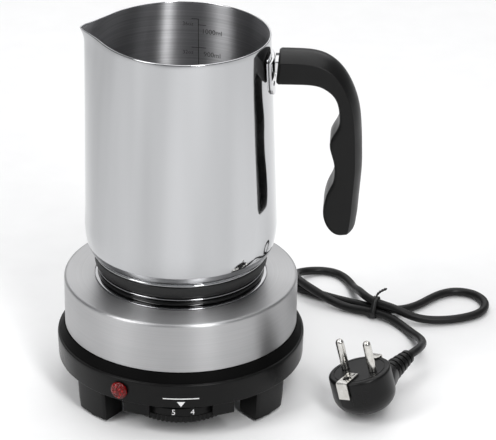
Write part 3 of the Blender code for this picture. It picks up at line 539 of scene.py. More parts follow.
def joined(parts):
    """One mesh that takes over the faces of several."""
    bm = bmesh.new()
    for part in parts:
        mesh = bpy.data.meshes.new("joined")
        part.to_mesh(mesh)
        part.free()
        bm.from_mesh(mesh)
        bpy.data.meshes.remove(mesh)
    return bm


def turn_by(angle, axis="Z"):
    return Matrix.Rotation(radians(angle), 4, axis)


def moved(bm, matrix):
    bm.transform(matrix)
    return bm


def boolean_mesh(base, unions=(), cuts=()):
    """A mesh joined with some others and then cut by others, one after another."""
    target = linked_object("tool", base)
    tools = []
    for operation, others in (("UNION", unions), ("DIFFERENCE", cuts)):
        for other in others:
            tools.append(linked_object("tool", other))
            modifier = target.modifiers.new(operation, "BOOLEAN")
            modifier.operation = operation
            modifier.object = tools[-1]
    return evaluated_mesh(target, tools)


def evaluated_mesh(target, tools=()):
    """The mesh that an object's modifiers give. The object and its tools are removed."""
    bpy.context.view_layer.update()
    graph = bpy.context.evaluated_depsgraph_get()
    mesh = bpy.data.meshes.new_from_object(target.evaluated_get(graph))
    bm = bmesh.new()
    bm.from_mesh(mesh)
    bpy.data.meshes.remove(mesh)
    for obj in (target, *tools):
        bpy.data.objects.remove(obj)
    return bm


def inlay_mesh(columns, depth, place):
    """A thin strip over columns of (side, low, high), with points from place(side, up, lift)."""
    rings = []
    for side, low, high in columns:
        corners = ((low, -depth), (high, -depth), (high, depth), (low, depth))
        rings.append([place(side, up, lift) for up, lift in corners])
    return loft(rings)


def text_mesh(words, size, place):
    """Thin raised figures, with points from place(side, up, lift)."""
    curve = bpy.data.curves.new("words", "FONT")
    curve.body = words
    curve.size = size
    curve.align_x = "CENTER"
    curve.align_y = "CENTER"
    curve.extrude = 0.00006
    curve.resolution_u = 4
    made = bpy.data.objects.new("words", curve)
    link(made)
    mesh = evaluated_mesh(made)
    for vert in mesh.verts:
        vert.co = place(*vert.co)
    return mesh


def polar(out, angle, up=0.0):
    """A point at an angle from -Y, turning towards +X."""
    turn = radians(angle)
    return Vector((out * sin(turn), -out * cos(turn), up))


def facing_out(out, angle, up):
    """A matrix on the ring's wall whose Z axis points away from the hot plate's axis."""
    turn = turn_by(angle) @ turn_by(90, "X")
    return Matrix.Translation(polar(out, angle, up)) @ turn


def smooth_path(route, spacing):
    """Evenly spaced points on the natural cubic spline through a route."""
    route = np.array(route)
    steps = np.linalg.norm(np.diff(route, axis=0), axis=1)
    knots = np.concatenate([[0], np.cumsum(steps)])
    slopes = np.diff(route, axis=0) / steps[:, None]
    system = np.eye(len(route))
    load = np.zeros(route.shape)
    for i in range(1, len(route) - 1):
        system[i, i - 1 : i + 2] = steps[i - 1], 2 * (steps[i - 1] + steps[i]), steps[i]
        load[i] = 6 * (slopes[i] - slopes[i - 1])
    bends = np.linalg.solve(system, load)
    s = np.linspace(0, knots[-1], 40 * len(route))
    i = np.clip(np.searchsorted(knots, s) - 1, 0, len(route) - 2)
    a = ((knots[i + 1] - s) / steps[i])[:, None]
    b = 1 - a
    curve = (a**3 - a) * bends[i] + (b**3 - b) * bends[i + 1]
    fine = a * route[i] + b * route[i + 1] + curve * steps[i][:, None] ** 2 / 6
    length = np.concatenate([[0], np.cumsum(np.linalg.norm(np.diff(fine, axis=0), axis=1))])
    places = np.linspace(0, length[-1], max(round(length[-1] / spacing), 2) + 1)
    return np.column_stack([np.interp(places, length, fine[:, k]) for k in range(route.shape[1])])


def tube_mesh(points, radius, sides=12):
    """A round tube along points, its sections turned as little as possible."""
    points = [Vector(point) for point in points]
    side = (points[1] - points[0]).orthogonal().normalized()
    rings = []
    for i, point in enumerate(points):
        ahead = (points[min(i + 1, len(points) - 1)] - points[max(i - 1, 0)]).normalized()
        side = (side - side.dot(ahead) * ahead).normalized()
        up = ahead.cross(side)
        turns = [2 * pi * k / sides for k in range(sides)]
        rings.append([point + radius * (cos(turn) * side + sin(turn) * up) for turn in turns])
    return loft(rings)


# Lead and plug


def make_cord(finish):
    """The mains lead as a round curve along its route."""
    curve = bpy.data.curves.new("mains_lead", "CURVE")
    curve.dimensions = "3D"
    curve.bevel_depth = CORD_RADIUS
    curve.bevel_resolution = 6
    curve.use_fill_caps = True
    curve.materials.append(finish)
    points = smooth_path(CORD_ROUTE, 0.002)
    spline = curve.splines.new("POLY")
    spline.points.add(len(points) - 1)
    for place, point in zip(spline.points, points):
        place.co = (*(Vector(point) + AXIS), 1)
    spline.use_smooth = True
    cord = bpy.data.objects.new("mains_lead", curve)
    link(cord)
    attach(cord, "hot_plate")
    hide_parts("power_cord")
    return cord


def strain_relief_mesh(start, length, first, last, groove, ribs=6, segments=48):
    """Tapered bushing round the lead, with the ribs that let a real one bend."""
    pitch = length / ribs
    end = start + length
    core = rounded([(0, start, 0), (first - groove, start, 0), (CORD_RADIUS + 0.0006, end, 0), (0, end, 0)])
    inner = CORD_RADIUS + 0.0002
    parts = []
    for rib in range(ribs):
        low = start + rib * pitch
        high = low + 0.64 * pitch
        radius = first + (last - first) * rib / (ribs - 1)
        outline = [(inner, low, 0), (radius, low, 0.0004), (radius, high, 0.0004), (inner, high, 0)]
        parts.append(turned_mesh(rounded(outline), segments))
    return boolean_mesh(turned_mesh(core, segments), parts)


def make_gland(finish):
    """Cord gland: a collar on the ring's wall and a ribbed boot along the lead."""
    collar = [(0, 0.0003, 0), (0.0072, 0.0003, 0.0006), (0.007, 0.0032, 0.001)]
    collar += [(0.0054, 0.004, 0.0006), (0, 0.004, 0)]
    boot = strain_relief_mesh(0.0036, GLAND_LENGTH - 0.0004 - 0.0036, 0.006, 0.004, 0.001)
    mesh = boolean_mesh(boot, [turned_mesh(rounded(collar), 48)])
    mesh.transform(facing_out(RING_RADIUS, GLAND_ANGLE, GLAND_HEIGHT))
    return add_piece("cord_bushing", mesh, [finish], "hot_plate", "cord_gland")


def tie_outline(radius, steps=8):
    """Round the hank's three strands, each passed at a radius."""
    outline = []
    for (y, z), start in zip(TIE_STRANDS, (-90, 30, 150)):
        for step in range(steps + 1):
            turn = radians(start + 120 * step / steps)
            outline.append((y + radius * cos(turn), z + radius * sin(turn)))
    return outline


def make_cord_tie(finish):
    """Plastic-covered wire tie: a band with a raised core and two ends twisted together."""
    profile = ((-0.0017, 0.0009), (-0.0016, 0.0012), (-0.0005, 0.0012), (0, 0.0015), (0.0005, 0.0012))
    profile += ((0.0016, 0.0012), (0.0017, 0.0009), (0, 0.0008))
    rings = [[(x, y, z) for y, z in tie_outline(CORD_RADIUS + lift)] for x, lift in profile]
    tail = ((0, 0.001, 0.008), (0.001, 0.0028, 0.0094), (0.0026, 0.0048, 0.0103), (0.0044, 0.007, 0.0108))
    line = smooth_path(tail, 0.0003)
    strands = []
    for side in (0, pi):
        points = []
        for i, point in enumerate(line):
            turn = side + i * 0.5
            offset = Vector((0.8 * cos(turn), -0.6 * cos(turn), sin(turn))) * 0.00045
            points.append(Vector(point) + offset)
        strands.append(tube_mesh(points, 0.00045, 8))
    mesh = joined([loft(rings, closed=True), *strands])
    place = AXIS + Vector(TIE_CENTRE)
    return add_piece("twist_tie", mesh, [finish], "hot_plate", "cord_tie", place, TIE_HEADING)


def plug_matrix():
    """The centre of the plug's face: Z along the pins, Y along the lead."""
    turn = turn_by(PLUG_HEADING - 90) @ turn_by(PLUG_PITCH, "X") @ turn_by(-PLUG_ROLL, "Y")
    tip = turn @ Vector((0, PLUG_BOOT_TIP + GAP, -PLUG_CABLE_DEPTH))
    return Matrix.Translation(AXIS + Vector(CORD_ROUTE[-1]) - tip) @ turn


def add_plug_piece(name, bm, finish, node, sharp=32):
    """A piece of the plug, modelled about the centre of the plug's face."""
    return add_piece(name, bm, [finish], "hot_plate", node, sharp=sharp, matrix=plug_matrix())


def ellipse(rx, ry, centre, up, segments=72):
    turns = [2 * pi * i / segments for i in range(segments)]
    return [(rx * cos(turn), centre + ry * sin(turn), up) for turn in turns]


def plug_body_mesh():
    """Round front, domed back and a neck to the lead; make_plug cuts the earth groove on each side."""
    levels = ((0.0172, 0.0172, 0, 0), (0.0181, 0.0181, 0, -0.0003), (PLUG_RADIUS, PLUG_RADIUS, 0, -0.0012))
    levels += ((PLUG_RADIUS, PLUG_RADIUS, 0, -0.006), (PLUG_RADIUS, PLUG_RADIUS, 0, -0.013))
    back = []
    for step in range(1, 9):
        turn = radians(11 * step)
        shrink = cos(turn) ** 0.75
        drop = -0.013 - 0.0133 * sin(turn)
        back.append((PLUG_RADIUS * shrink, 0.0186 * shrink, 0.0015 * sin(turn), drop))
    head = loft([ellipse(*level) for level in (*levels, *back)])
    sections = (
        (0.006, 0.0128, 0.008, 0.0146), (0.015, 0.0118, 0.0079, 0.015), (0.021, 0.0097, 0.0074, 0.0154),
        (0.025, 0.008, 0.0068, 0.0158), (PLUG_NECK_END, 0.0066, 0.0064, PLUG_CABLE_DEPTH),
    )
    neck = []
    for y, rx, rz, depth in smooth_path(sections, 0.0012):
        neck.append([(x, y, z - depth) for x, z, _ in ellipse(rx, rz, 0, 0, 40)])
    return boolean_mesh(head, [loft(neck)])


def blended(bm, voxel, rounds):
    """The same solid with its inner corners blended, as a moulding has them."""
    made = linked_object("tool", bm)
    remesh = made.modifiers.new("Remesh", "REMESH")
    remesh.mode = "VOXEL"
    remesh.voxel_size = voxel
    relax = made.modifiers.new("Smooth", "SMOOTH")
    relax.factor = 0.5
    relax.iterations = rounds
    return evaluated_mesh(made)


def make_plug(finish, metal):
    """Angled earthed plug, with its boot, two pins and two earth contacts."""
    body = blended(plug_body_mesh(), 0.00055, 8)
    grooves = [box_mesh((0.0084, 0.003, 0.024), 0.0004, (0, side * 0.0192, -0.008)) for side in (1, -1)]
    rim = rounded([(0.0148, 0.001, 0), (0.0148, -0.0004, 0), (0.0153, -0.0004, 0), (0.0153, 0.001, 0)])
    body = boolean_mesh(body, cuts=[*grooves, turned_mesh(rim, 72)])
    pieces = [add_plug_piece("plug_moulding", body, finish, "plug_body", 40)]
    start = PLUG_NECK_END + GAP
    boot = strain_relief_mesh(start, PLUG_BOOT_TIP - start, 0.0064, 0.0044, 0.0013, 5)
    boot.transform(Matrix.Translation((0, 0, -PLUG_CABLE_DEPTH)) @ turn_by(-90, "X"))
    pieces.append(add_plug_piece("plug_bend_relief", boot, finish, "plug_boot"))
    for name, side in (("left", -1), ("right", 1)):
        outline = rounded([
            (0, GAP, 0), (PIN_RADIUS, GAP, 0.0002), (PIN_RADIUS, PIN_LENGTH - 0.0016, 0.0008),
            (0.0016, PIN_LENGTH, 0.001), (0, PIN_LENGTH, 0),
        ])
        pin = moved(turned_mesh(outline, 40), Matrix.Translation((side * PIN_SPACING / 2, 0, 0)))
        node = f"plug_pin_{name}"
        pieces.append(add_plug_piece(f"contact_pin_{name}", pin, metal, node))
    return pieces + make_earth_contacts(metal)


def make_earth_contacts(metal):
    """Sprung earth strips, bent over the edge of the plug's face."""
    wall = PLUG_RADIUS + GAP
    skin = 0.0008
    made = []
    for name, side, reach, drop in (("near_lead", 1, 0.0135, 0.006), ("with_hole", -1, 0.006, 0.0095)):
        outline = rounded([
            (reach, GAP, 0.0002), (wall, GAP, 0.0003), (wall, -drop, 0.0002),
            (wall + skin, -drop, 0.0002), (wall + skin, GAP + skin, 0.0012),
            (reach, GAP + skin, 0.0002),
        ], 4)
        strip = loft([[(x, side * y, z) for y, z in outline] for x in (-0.0037, -0.0035, 0.0035, 0.0037)])
        cuts = []
        if side < 0:
            cuts.append(cylinder_tool(0.0024, -0.002, 0.003, (0, -0.013, 0), 40))
            cuts += [box_mesh((0.0008, 0.003, 0.004), 0.0001, (x, -0.0082, 0)) for x in (-0.0017, 0.0017)]
        mesh = boolean_mesh(strip, cuts=cuts)
        node = f"earth_clip_{name}"
        made.append(add_plug_piece(f"earth_strip_{name}", mesh, metal, node))
    return made


# Base


def leg_mesh():
    """One leg, centred on -Y: flat sides along the radius and an outer face that leans in."""
    rings = []
    levels = ((0.001, 0.069, 0.5), (0.0014, 0.0697, 0), (0.009, 0.0706, 0), (WEB_TOP - GAP, 0.0714, 0))
    for height, outer, inset in levels:
        half = LEG_HALF_ANGLE - inset
        sweep = [half * (step / 8 - 1) for step in range(17)]
        ring = [polar(outer - 0.0004 * (abs(angle) > half - 0.1), angle, height) for angle in sweep]
        ring += [polar(LEG_INNER + 0.001 * inset, angle, height) for angle in reversed(sweep)]
        rings.append(ring)
    return loft(rings)


def guard_mesh(start, end):
    """A block beside the dial, from one angle to another."""
    sweep = np.linspace(start, end, 12)
    rings = []
    for height, outer in ((0.013, 0.0719), (0.0134, 0.0722), (WEB_TOP - GAP, 0.0724)):
        ring = [polar(outer, angle, height) for angle in sweep]
        ring += [polar(0.0655, angle, height) for angle in reversed(sweep)]
        rings.append(ring)
    return loft(rings)


def cylinder_tool(radius, low, high, place, segments=64):
    tool = turned_mesh(((0, low), (radius, low), (radius, high), (0, high)), segments)
    return moved(tool, Matrix.Translation(place))


def make_base(finish, dull_painted_shade_finish):
    """Moulded base: sloped collar under the housing, raised lip, wall, legs and guards."""
    housing_seat = floor_of("housing_shell") - GAP
    outline = rounded([
        (0.064, 0.045, 0), (0.067, 0.045, 0.0004), (0.067, housing_seat, 0),
        (0.069, housing_seat, 0.0004), (0.0713, LIP_HEIGHT + 0.0022, 0.0006),
        (0.0716, LIP_HEIGHT + 0.0011, 0.0003), (RING_RADIUS - 0.0002, LIP_HEIGHT + 0.0008, 0.0007),
        (RING_RADIUS, LIP_HEIGHT - 0.001, 0.001), (RING_FOOT_RADIUS, RING_BOTTOM, 0.0006),
        (0.0702, RING_BOTTOM, 0.0004), (0.0702, WEB_BOTTOM, 0), (0.049, WEB_BOTTOM, 0),
        (0.049, WEB_TOP, 0), (0.0702, WEB_TOP, 0), (0.0704, LIP_HEIGHT + 0.001, 0),
        (0.0662, 0.038, 0), (0.064, 0.038, 0),
    ])
    unions = [moved(leg_mesh(), turn_by(angle)) for angle in LEG_ANGLES]
    unions += [guard_mesh(start, end) for start, end in GUARD_ANGLES]
    cuts = [cylinder_tool(DIAL_RADIUS + 0.0012, 0, RING_BOTTOM - 0.0006, DIAL_CENTRE - AXIS)]
    for angle in LEG_ANGLES:
        cuts.append(cylinder_tool(PAD_RADIUS + GAP, -0.001, 0.0033, polar(PAD_ORBIT, angle)))
    lamp = facing_out(RING_RADIUS, INDICATOR_ANGLE, INDICATOR_HEIGHT)
    for radius, low, high in ((0.0049, -0.008, 0.008), (0.0072, -0.0155, -0.0032)):
        cuts.append(moved(cylinder_tool(radius, low, high, (0, 0, 0), 48), lamp))
    mesh = boolean_mesh(turned_mesh(outline, 192), unions, cuts)
    # Faces of the sloped collar under the housing take slot 1, a darker and duller copy of the base
    # plastic. Its darker colour is painted shade.
    seat_slope = LIP_HEIGHT + 0.0012
    for face in mesh.faces:
        middle = face.calc_center_median()
        out = hypot(middle.x, middle.y)
        face.material_index = int(0.0671 < out < 0.0717 and seat_slope < middle.z < housing_seat + 0.0001)
    add_piece("base_moulding", mesh, [finish, dull_painted_shade_finish], "hot_plate", "base_ring")


def make_foot_pads(finish):
    """Rubber pads with a raised rim and two rings under each leg."""
    outline = rounded([
        (0, 0.0006, 0), (0.002, 0.0006, 0.0002), (0.0022, 0, 0.0002), (0.0032, 0, 0.0002),
        (0.0034, 0.0006, 0.0002), (0.0046, 0.0006, 0.0002), (0.0048, 0, 0.0002),
        (PAD_RADIUS, 0, 0.0005), (PAD_RADIUS, 0.003, 0.0003), (0, 0.003, 0),
    ], 3)
    names = ("front_right", "back_right", "back_left", "front_left")
    for name, angle in zip(names, LEG_ANGLES):
        place = AXIS + polar(PAD_ORBIT, angle)
        mesh = turned_mesh(outline, 48)
        node = f"foot_pad_{name}"
        add_piece(f"rubber_pad_{name}", mesh, [finish], "hot_plate", node, place)


def make_bottom_cover(finish):
    """Sheet cover with two pressed rings, vent slots and holes for its screws and the shaft."""
    low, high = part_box("bottom_cover")
    outline = rounded([
        (0.005, low.z, 0), (0.018, low.z, 0.001), (0.0195, low.z + 0.0004, 0.001),
        (0.024, low.z + 0.0004, 0.001), (0.0255, low.z, 0.001), (0.043, low.z, 0.001),
        (0.044, low.z + 0.0004, 0.001), (0.047, low.z + 0.0004, 0.001), (0.048, low.z, 0.001),
        (0.055, low.z, 0.0003), (0.055, high.z, 0.0003), (0.005, high.z, 0),
    ], 3)
    cuts = []
    for angle in range(60, 301, 15):
        cuts.append(moved(box_mesh((0.0022, 0.012, 0.004), 0.0009, (0, -0.0345, low.z)), turn_by(angle)))
    for angle in SCREW_ANGLES:
        cuts.append(cylinder_tool(0.0019, 0.018, 0.024, polar(SCREW_ORBIT, angle), 24))
    cuts.append(cylinder_tool(0.0042, 0.018, 0.024, DIAL_CENTRE - AXIS, 40))
    mesh = boolean_mesh(turned_mesh(outline, 128), cuts=cuts)
    add_piece("underside_cover", mesh, [finish], "hot_plate", "bottom_cover")


def make_cover_screws(finish):
    """Pan-head screws with a cross recess."""
    low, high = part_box("cover_screw_1")
    seat = floor_of("bottom_cover") - GAP
    outline = rounded([
        (0, low.z, 0), (0.002, low.z + 0.0001, 0.0006), (0.0027, seat - 0.0006, 0.0005),
        (0.0027, seat, 0.0001), (0.0013, seat, 0), (0.0013, high.z - 0.0004, 0.0003), (0, high.z, 0),
    ])
    for number, angle in enumerate(SCREW_ANGLES, 1):
        cuts = []
        for turn in (20, 110):
            cuts.append(moved(box_mesh((0.003, 0.0006, 0.0022), 0.0001, (0, 0, low.z)), turn_by(turn)))
        mesh = boolean_mesh(turned_mesh(outline, 40), cuts=cuts)
        name, node = f"pan_head_screw_{number}", f"cover_screw_{number}"
        place = AXIS + polar(SCREW_ORBIT, angle)
        add_piece(name, mesh, [finish], "hot_plate", node, place)


def make_pointer_mark(finish):
    """White line and triangle on the front of the base's wall, above the dial."""

    def wall(side, up, lift):
        share = (up - RING_BOTTOM) / (LIP_HEIGHT - 0.001 - RING_BOTTOM)
        out = RING_FOOT_RADIUS + (RING_RADIUS - RING_FOOT_RADIUS) * share + lift
        return (out * sin(side / out), -out * cos(side / out), up)

    half, top, tip = 0.0023, 0.024, 0.0208
    shares = [step / 8 for step in range(-8, 9)]
    triangle = [(half * t, top - (top - tip) * (1 - abs(t)) - 0.00002, top) for t in shares]
    line = [(0.0104 * step / 16, 0.0257, 0.0263) for step in range(-16, 17)]
    mesh = joined([inlay_mesh(columns, 0.00006, wall) for columns in (triangle, line)])
    add_piece("pointer_mark", mesh, [finish], "hot_plate")


def make_indicator(lens_finish):
    """Red lens: a rim, a ring of prisms and a raised middle."""

    def prisms(angle, out, up):
        ribbed = 0.0018 < out < 0.0047 and up > 0
        return out + (0.00016 * cos(16 * angle) if ribbed else 0)

    outline = rounded([
        (0, 0.0028, 0), (0.0012, 0.0028, 0.0005), (0.0022, 0.0023, 0.0003), (0.0026, 0.0019, 0.0002),
        (0.0032, 0.0021, 0.0003), (0.0041, 0.0014, 0.0003), (0.0045, 0.001, 0.0002),
        (0.0049, 0.0009, 0.0003), (0.0052, 0.0002, 0.0003), (0.0051, -0.0004, 0.0002),
        (0.0045, -0.0004, 0), (0.0045, -0.009, 0), (0.0033, -0.009, 0), (0.0033, -0.002, 0),
        (0, -0.0014, 0),
    ], 4)
    mesh = turned_mesh(outline, 96, prisms)
    mesh.transform(facing_out(RING_RADIUS + 0.0009, INDICATOR_ANGLE, INDICATOR_HEIGHT))
    add_piece("red_indicator", mesh, [lens_finish], "hot_plate", "indicator_lens", sharp=24)


# Housing, trim ring and heating plate


def make_housing(finish):
    """Pressed and brushed housing with a tight shoulder and a hemmed opening."""
    low, high = HOUSING_LOW.z, HOUSING_HIGH.z
    sheet = 0.0008
    outline = rounded([
        (HOUSING_RADIUS, low, 0.0003), (HOUSING_RADIUS, high, 0.0022), (0.0488, high, 0.0004),
        (0.048, high - 0.0008, 0.0004), (0.048, high - 0.0024, 0), (0.0488, high - 0.0024, 0),
        (0.0488, high - sheet, 0), (HOUSING_RADIUS - sheet, high - sheet, 0.0014),
        (HOUSING_RADIUS - sheet, low, 0.0003),
    ], 8)
    mesh = turned_mesh(outline, 256)
    add_piece("brushed_shell", mesh, [finish], "hot_plate", "housing_shell")


def make_trim_ring(finish, painted_dark_neck_finish):
    """Spool-shaped ring: a lip under the plate, a narrow neck and a rolled flange. The neck's finish is a
    far darker copy of the polish: a painted dark reflection.
    """
    low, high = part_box("trim_ring")
    outline = rounded([
        (0.0462, high.z, 0), (0.0486, high.z, 0.0004), (0.0489, 0.0762, 0.0005),
        (0.0475, 0.0754, 0.0006), (0.0472, 0.074, 0.0008), (0.0474, 0.0724, 0.0008),
        (0.0496, 0.072, 0.0008), (0.0506, 0.0716, 0.0006), (0.0504, low.z, 0.0003), (0.0472, low.z, 0),
        (0.0465, 0.0718, 0), (0.0465, 0.0754, 0),
    ], 6)
    # Slot 1 is the neck below the lip. Its far darker finish is a painted dark reflection.
    slots = [1 if out < 0.0482 and up > 0.0722 else 0 for out, up in outline]
    mesh = turned_mesh(outline, 256, None, slots)
    add_piece("spool_ring", mesh, [finish, painted_dark_neck_finish], "hot_plate", "trim_ring")


def make_heating_plate(finish):
    """Cast plate: rounded rim and shallow grooves in the face."""
    floor = PLATE_TOP - 0.0006
    corners = [(0, PLATE_TOP, 0)]
    for groove in (0.016, 0.032):
        corners += [(groove - 0.0008, PLATE_TOP, 0.0002), (groove - 0.0004, floor, 0.0002)]
        corners += [(groove + 0.0004, floor, 0.0002), (groove + 0.0008, PLATE_TOP, 0.0002)]
    corners += [
        (PLATE_RADIUS - 0.0004, PLATE_TOP, 0.0009), (PLATE_RADIUS, 0.083, 0.001),
        (0.0503, 0.08, 0.0008), (0.0484, PLATE_BOTTOM, 0.0008), (0, PLATE_BOTTOM, 0),
    ]
    mesh = turned_mesh(rounded(corners), 200)
    add_piece("cast_plate", mesh, [finish], "hot_plate", "heating_plate")


# Dial

# Degrees on the wheel: the number 5, each step down from it, and the wider gap below 4
LAST_NUMBER = -7.9
NUMBER_STEP = 20.3
NUMBER_GAP = 4.0


def make_dial(finish, print_finish):
    """Thumb wheel with a ribbed rim, a plain band for its numbers and a dished underside."""
    low, high = DIAL_LOW.z, DIAL_HIGH.z
    band = low + 0.0042
    ribs = 72

    def ribbed(angle, out, up):
        on_rim = out > DIAL_RADIUS - 0.0012 and up < band + 0.0001
        return out - (0.00035 * (1 - cos(ribs * angle)) if on_rim else 0)

    outline = rounded([
        (0.0033, low + 0.0012, 0), (0.008, low + 0.0012, 0.0005), (0.0085, low + 0.0002, 0.0005),
        (0.011, low + 0.0002, 0.0005), (0.012, low + 0.0016, 0.0005), (0.027, low + 0.0016, 0.0005),
        (0.028, low, 0.0005), (DIAL_RADIUS - 0.0004, low, 0.0006), (DIAL_RADIUS, low + 0.0008, 0.0004),
        (DIAL_RADIUS, band, 0.0003), (DIAL_RADIUS - 0.0008, band + 0.0003, 0.0002),
        (DIAL_RADIUS - 0.001, high - 0.0005, 0.0004), (DIAL_RADIUS - 0.0016, high, 0.0003),
        (0.0033, high, 0),
    ], 4)
    mesh = turned_mesh(outline, ribs * 6, ribbed)
    add_piece("thumb_wheel", mesh, [finish], "dial", "control_dial", DIAL_CENTRE)
    for number in range(6):
        angle = LAST_NUMBER + NUMBER_STEP * (5 - number) + (NUMBER_GAP if number < 4 else 0.0)

        def on_band(x, y, lift):
            up = band + 0.0023 + y
            reach = DIAL_RADIUS - 0.0008 - 0.0002 * (up - band) / (high - band)
            return polar(reach + lift, angle + degrees(x / reach), up)

        mesh = text_mesh(str(number), 0.0048, on_band)
        add_piece(f"dial_number_{number}", mesh, [print_finish], "dial", None, DIAL_CENTRE)


# Pot


def wall_radius(up):
    """Outer radius of the pot above its belly, where the wall tapers to the rim."""
    share = (up - BELLY_HEIGHT) / (POT_RIM - BELLY_HEIGHT)
    return BELLY_RADIUS + share * (RIM_RADIUS - BELLY_RADIUS)


def share_above(up, start):
    """0 up to a start height, then rising to 1 at the rim."""
    return max(0.0, (up - start) / (POT_RIM - start))


def pot_point(angle, out, up):
    """A point of the pot's wall at an angle in degrees from the spout, which is at -X."""
    if out > 0.045:
        rise = share_above(up, SPOUT_START)
        flare = share_above(up, SPOUT_FLARE_START) ** 2
        hollow = SPOUT_HOLLOW * rise**2
        ridge = SPOUT_RIDGE * rise + (SPOUT_REACH - SPOUT_RIDGE) * flare + hollow
        width = SPOUT_SPREAD + SPOUT_SPREAD_BELOW * (1 - rise)
        out += ridge * exp(-((abs(angle) / width) ** 1.5))
        out -= hollow * exp(-((abs(angle) / HOLLOW_SPREAD) ** 4))
        lift = SPOUT_LIFT * share_above(up, SPOUT_LIFT_START) ** 2
        up += lift * exp(-((angle / LIFT_SPREAD) ** 2))
    turn = radians(angle + 180)
    return (out * cos(turn), out * sin(turn), up)


def make_pot(outer, inner):
    """Polished shell with a rounded foot, tapering wall, spout and a smooth rim edge."""
    foot = 0.0512
    outline = [(foot - 0.001, POT_FLOOR), (foot - 0.0004, POT_FLOOR + 0.0002)]
    for step in range(17):
        turn = radians(90 * step / 16)
        out = foot + (BELLY_RADIUS - foot) * sin(turn)
        outline.append((out, POT_FLOOR + 0.0006 + 0.0169 * (1 - cos(turn))))
    heights = np.linspace(BELLY_HEIGHT + 0.003, POT_RIM - 0.0006, 44)
    outline += [(wall_radius(up), up) for up in heights]
    for step in range(1, 8):
        turn = radians(180 * step / 8)
        out = RIM_RADIUS + POT_WALL / 2 * (cos(turn) - 1)
        outline.append((out, POT_RIM - 0.0005 + 0.0005 * sin(turn)))
    rim_end = len(outline)
    outline += [(wall_radius(up) - POT_WALL, up) for up in reversed(heights)]
    floor = POT_FLOOR + POT_WALL
    corners = [(BELLY_RADIUS - POT_WALL, BELLY_HEIGHT, 0), (0.0542, floor, 0.012), (0.043, floor, 0)]
    outline += rounded(corners, 12)
    rings = [[(0, 0, POT_FLOOR)]]
    angles = [360 * i / 288 - 180 for i in range(288)]
    rings += [[pot_point(angle, out, up) for angle in angles] for out, up in outline]
    rings.append([(0, 0, floor)])
    slots = [0 if index <= rim_end else 1 for index in range(len(rings))]
    mesh = loft(rings, False, slots)
    add_piece("pot_shell", mesh, [outer, inner], "pot", "pot_body", turn=POT_TURN)
    foot_top = top_of("pot_base_disc")
    foot = rounded([
        (0, POT_FOOT, 0), (0.047, POT_FOOT, 0.001), (POT_FOOT_RADIUS - 0.0008, POT_FOOT, 0.0006),
        (POT_FOOT_RADIUS, POT_FOOT + 0.001, 0.0006), (POT_FOOT_RADIUS - 0.0009, foot_top, 0.0004),
        (0, foot_top, 0),
    ])
    add_piece("foot_disc", turned_mesh(foot, 256), [outer], "pot", "pot_base_disc")


def make_scale(line_finish, figure_finish):
    """Etched graduation inside the far wall: a line, ticks and their numbers."""
    middle = 11.6 + POT_TURN
    half = 0.28
    depth = 0.00004
    marks = []
    words = []

    def wall(angle, up, lift):
        """A point on the inner wall, at an angle from +Y towards +X."""
        return pot_point(-90 - angle, wall_radius(up) - POT_WALL - lift, up)

    def add_mark(angles, low, high):
        marks.append(inlay_mesh([(angle, low, high) for angle in angles], depth, wall))

    def add_words(text, size, angle, up):
        def place(x, y, lift):
            return wall(angle + degrees(x / RIM_RADIUS), up + y, depth + lift)

        words.append(text_mesh(text, size, place))

    first, spacing, count = POT_RIM - 0.0141, 0.0143, 8
    low = first - spacing * (count - 1) - 0.004
    top = first + 0.0038
    for piece in range(10):
        bottom = low + (top - low) * piece / 10
        add_mark((middle - half, middle + half), bottom, low + (top - low) * (piece + 1) / 10)
    for index in range(count):
        up = first - spacing * index
        add_mark(np.linspace(middle + half, middle + 5.2, 6), up - 0.0002, up + 0.0002)
        add_words(f"{1000 - 100 * index}ml", 0.0043, middle + 9.4, up - 0.004)
    for index in range(7):
        up = top - 0.0179 * index
        add_mark(np.linspace(middle - 4.6, middle - half, 6), up - 0.0004, up)
        add_words(f"{36 - 4 * index}oz", 0.0033, middle - 7.0, up - 0.0034)
    add_piece("etched_scale", joined(marks), [line_finish], "pot", turn=POT_TURN)
    add_piece("etched_figures", joined(words), [figure_finish], "pot", turn=POT_TURN)


def grip_section(inner_reach, inner_height, outer_reach, outer_height):
    """Flat sides, rounded inner corners, a crisp facet line and a crowned outer face."""
    inner = Vector((inner_reach, 0, inner_height))
    outer = Vector((outer_reach, 0, outer_height))
    depth = (outer - inner).length
    across = (outer - inner).normalized()
    crown = min(GRIP_CROWN, 0.4 * depth)
    edge = min(0.0026, 0.25 * depth)
    width = GRIP_HALF_WIDTH * min(1.0, depth / 0.01)
    half = []
    for step in range(6):
        turn = radians(90 * step / 5)
        half.append((width - edge + edge * sin(turn), edge - edge * cos(turn)))
    for share in (0.25, 0.5, 0.75):
        half.append((width, edge + share * (depth - crown - edge)))
    half.append((width, depth - crown - 0.0002))
    for share in (0.985, 0.9, 0.8, 0.68, 0.55, 0.42, 0.28, 0.14):
        half.append((share * width, depth - crown * share**2))
    profile = [*half, (0, depth), *((-side, up) for side, up in reversed(half))]
    return [inner + across * up + Vector((0, side, 0)) for side, up in profile]


def shrunk(ring, scale, push):
    """A ring drawn in towards its middle and moved along."""
    middle = sum(ring, Vector()) / len(ring)
    return [middle + (point - middle) * scale + push for point in ring]


def make_grip(finish):
    """Moulded handle with finger hollows and a rounded tip."""
    stations = smooth_path(GRIP_STATIONS, 0.0018)
    rings = [grip_section(*station) for station in stations]
    start, end = rings[0], rings[-1]
    bevel = ((0.86, 0), (0.93, 0.0003), (0.985, 0.0012), (1.0, 0.0017))
    rings[:1] = [shrunk(start, scale, Vector((push, 0, 0))) for scale, push in bevel]
    along = Vector((0.75, 0, -0.66))
    for scale, push in ((0.93, 0.0005), (0.8, 0.001), (0.58, 0.0014), (0.28, 0.0016)):
        rings.append(shrunk(end, scale, along * push))
    mesh = loft(rings)
    add_piece("moulded_grip", mesh, [finish], "pot", "handle_grip", turn=POT_TURN, sharp=22)


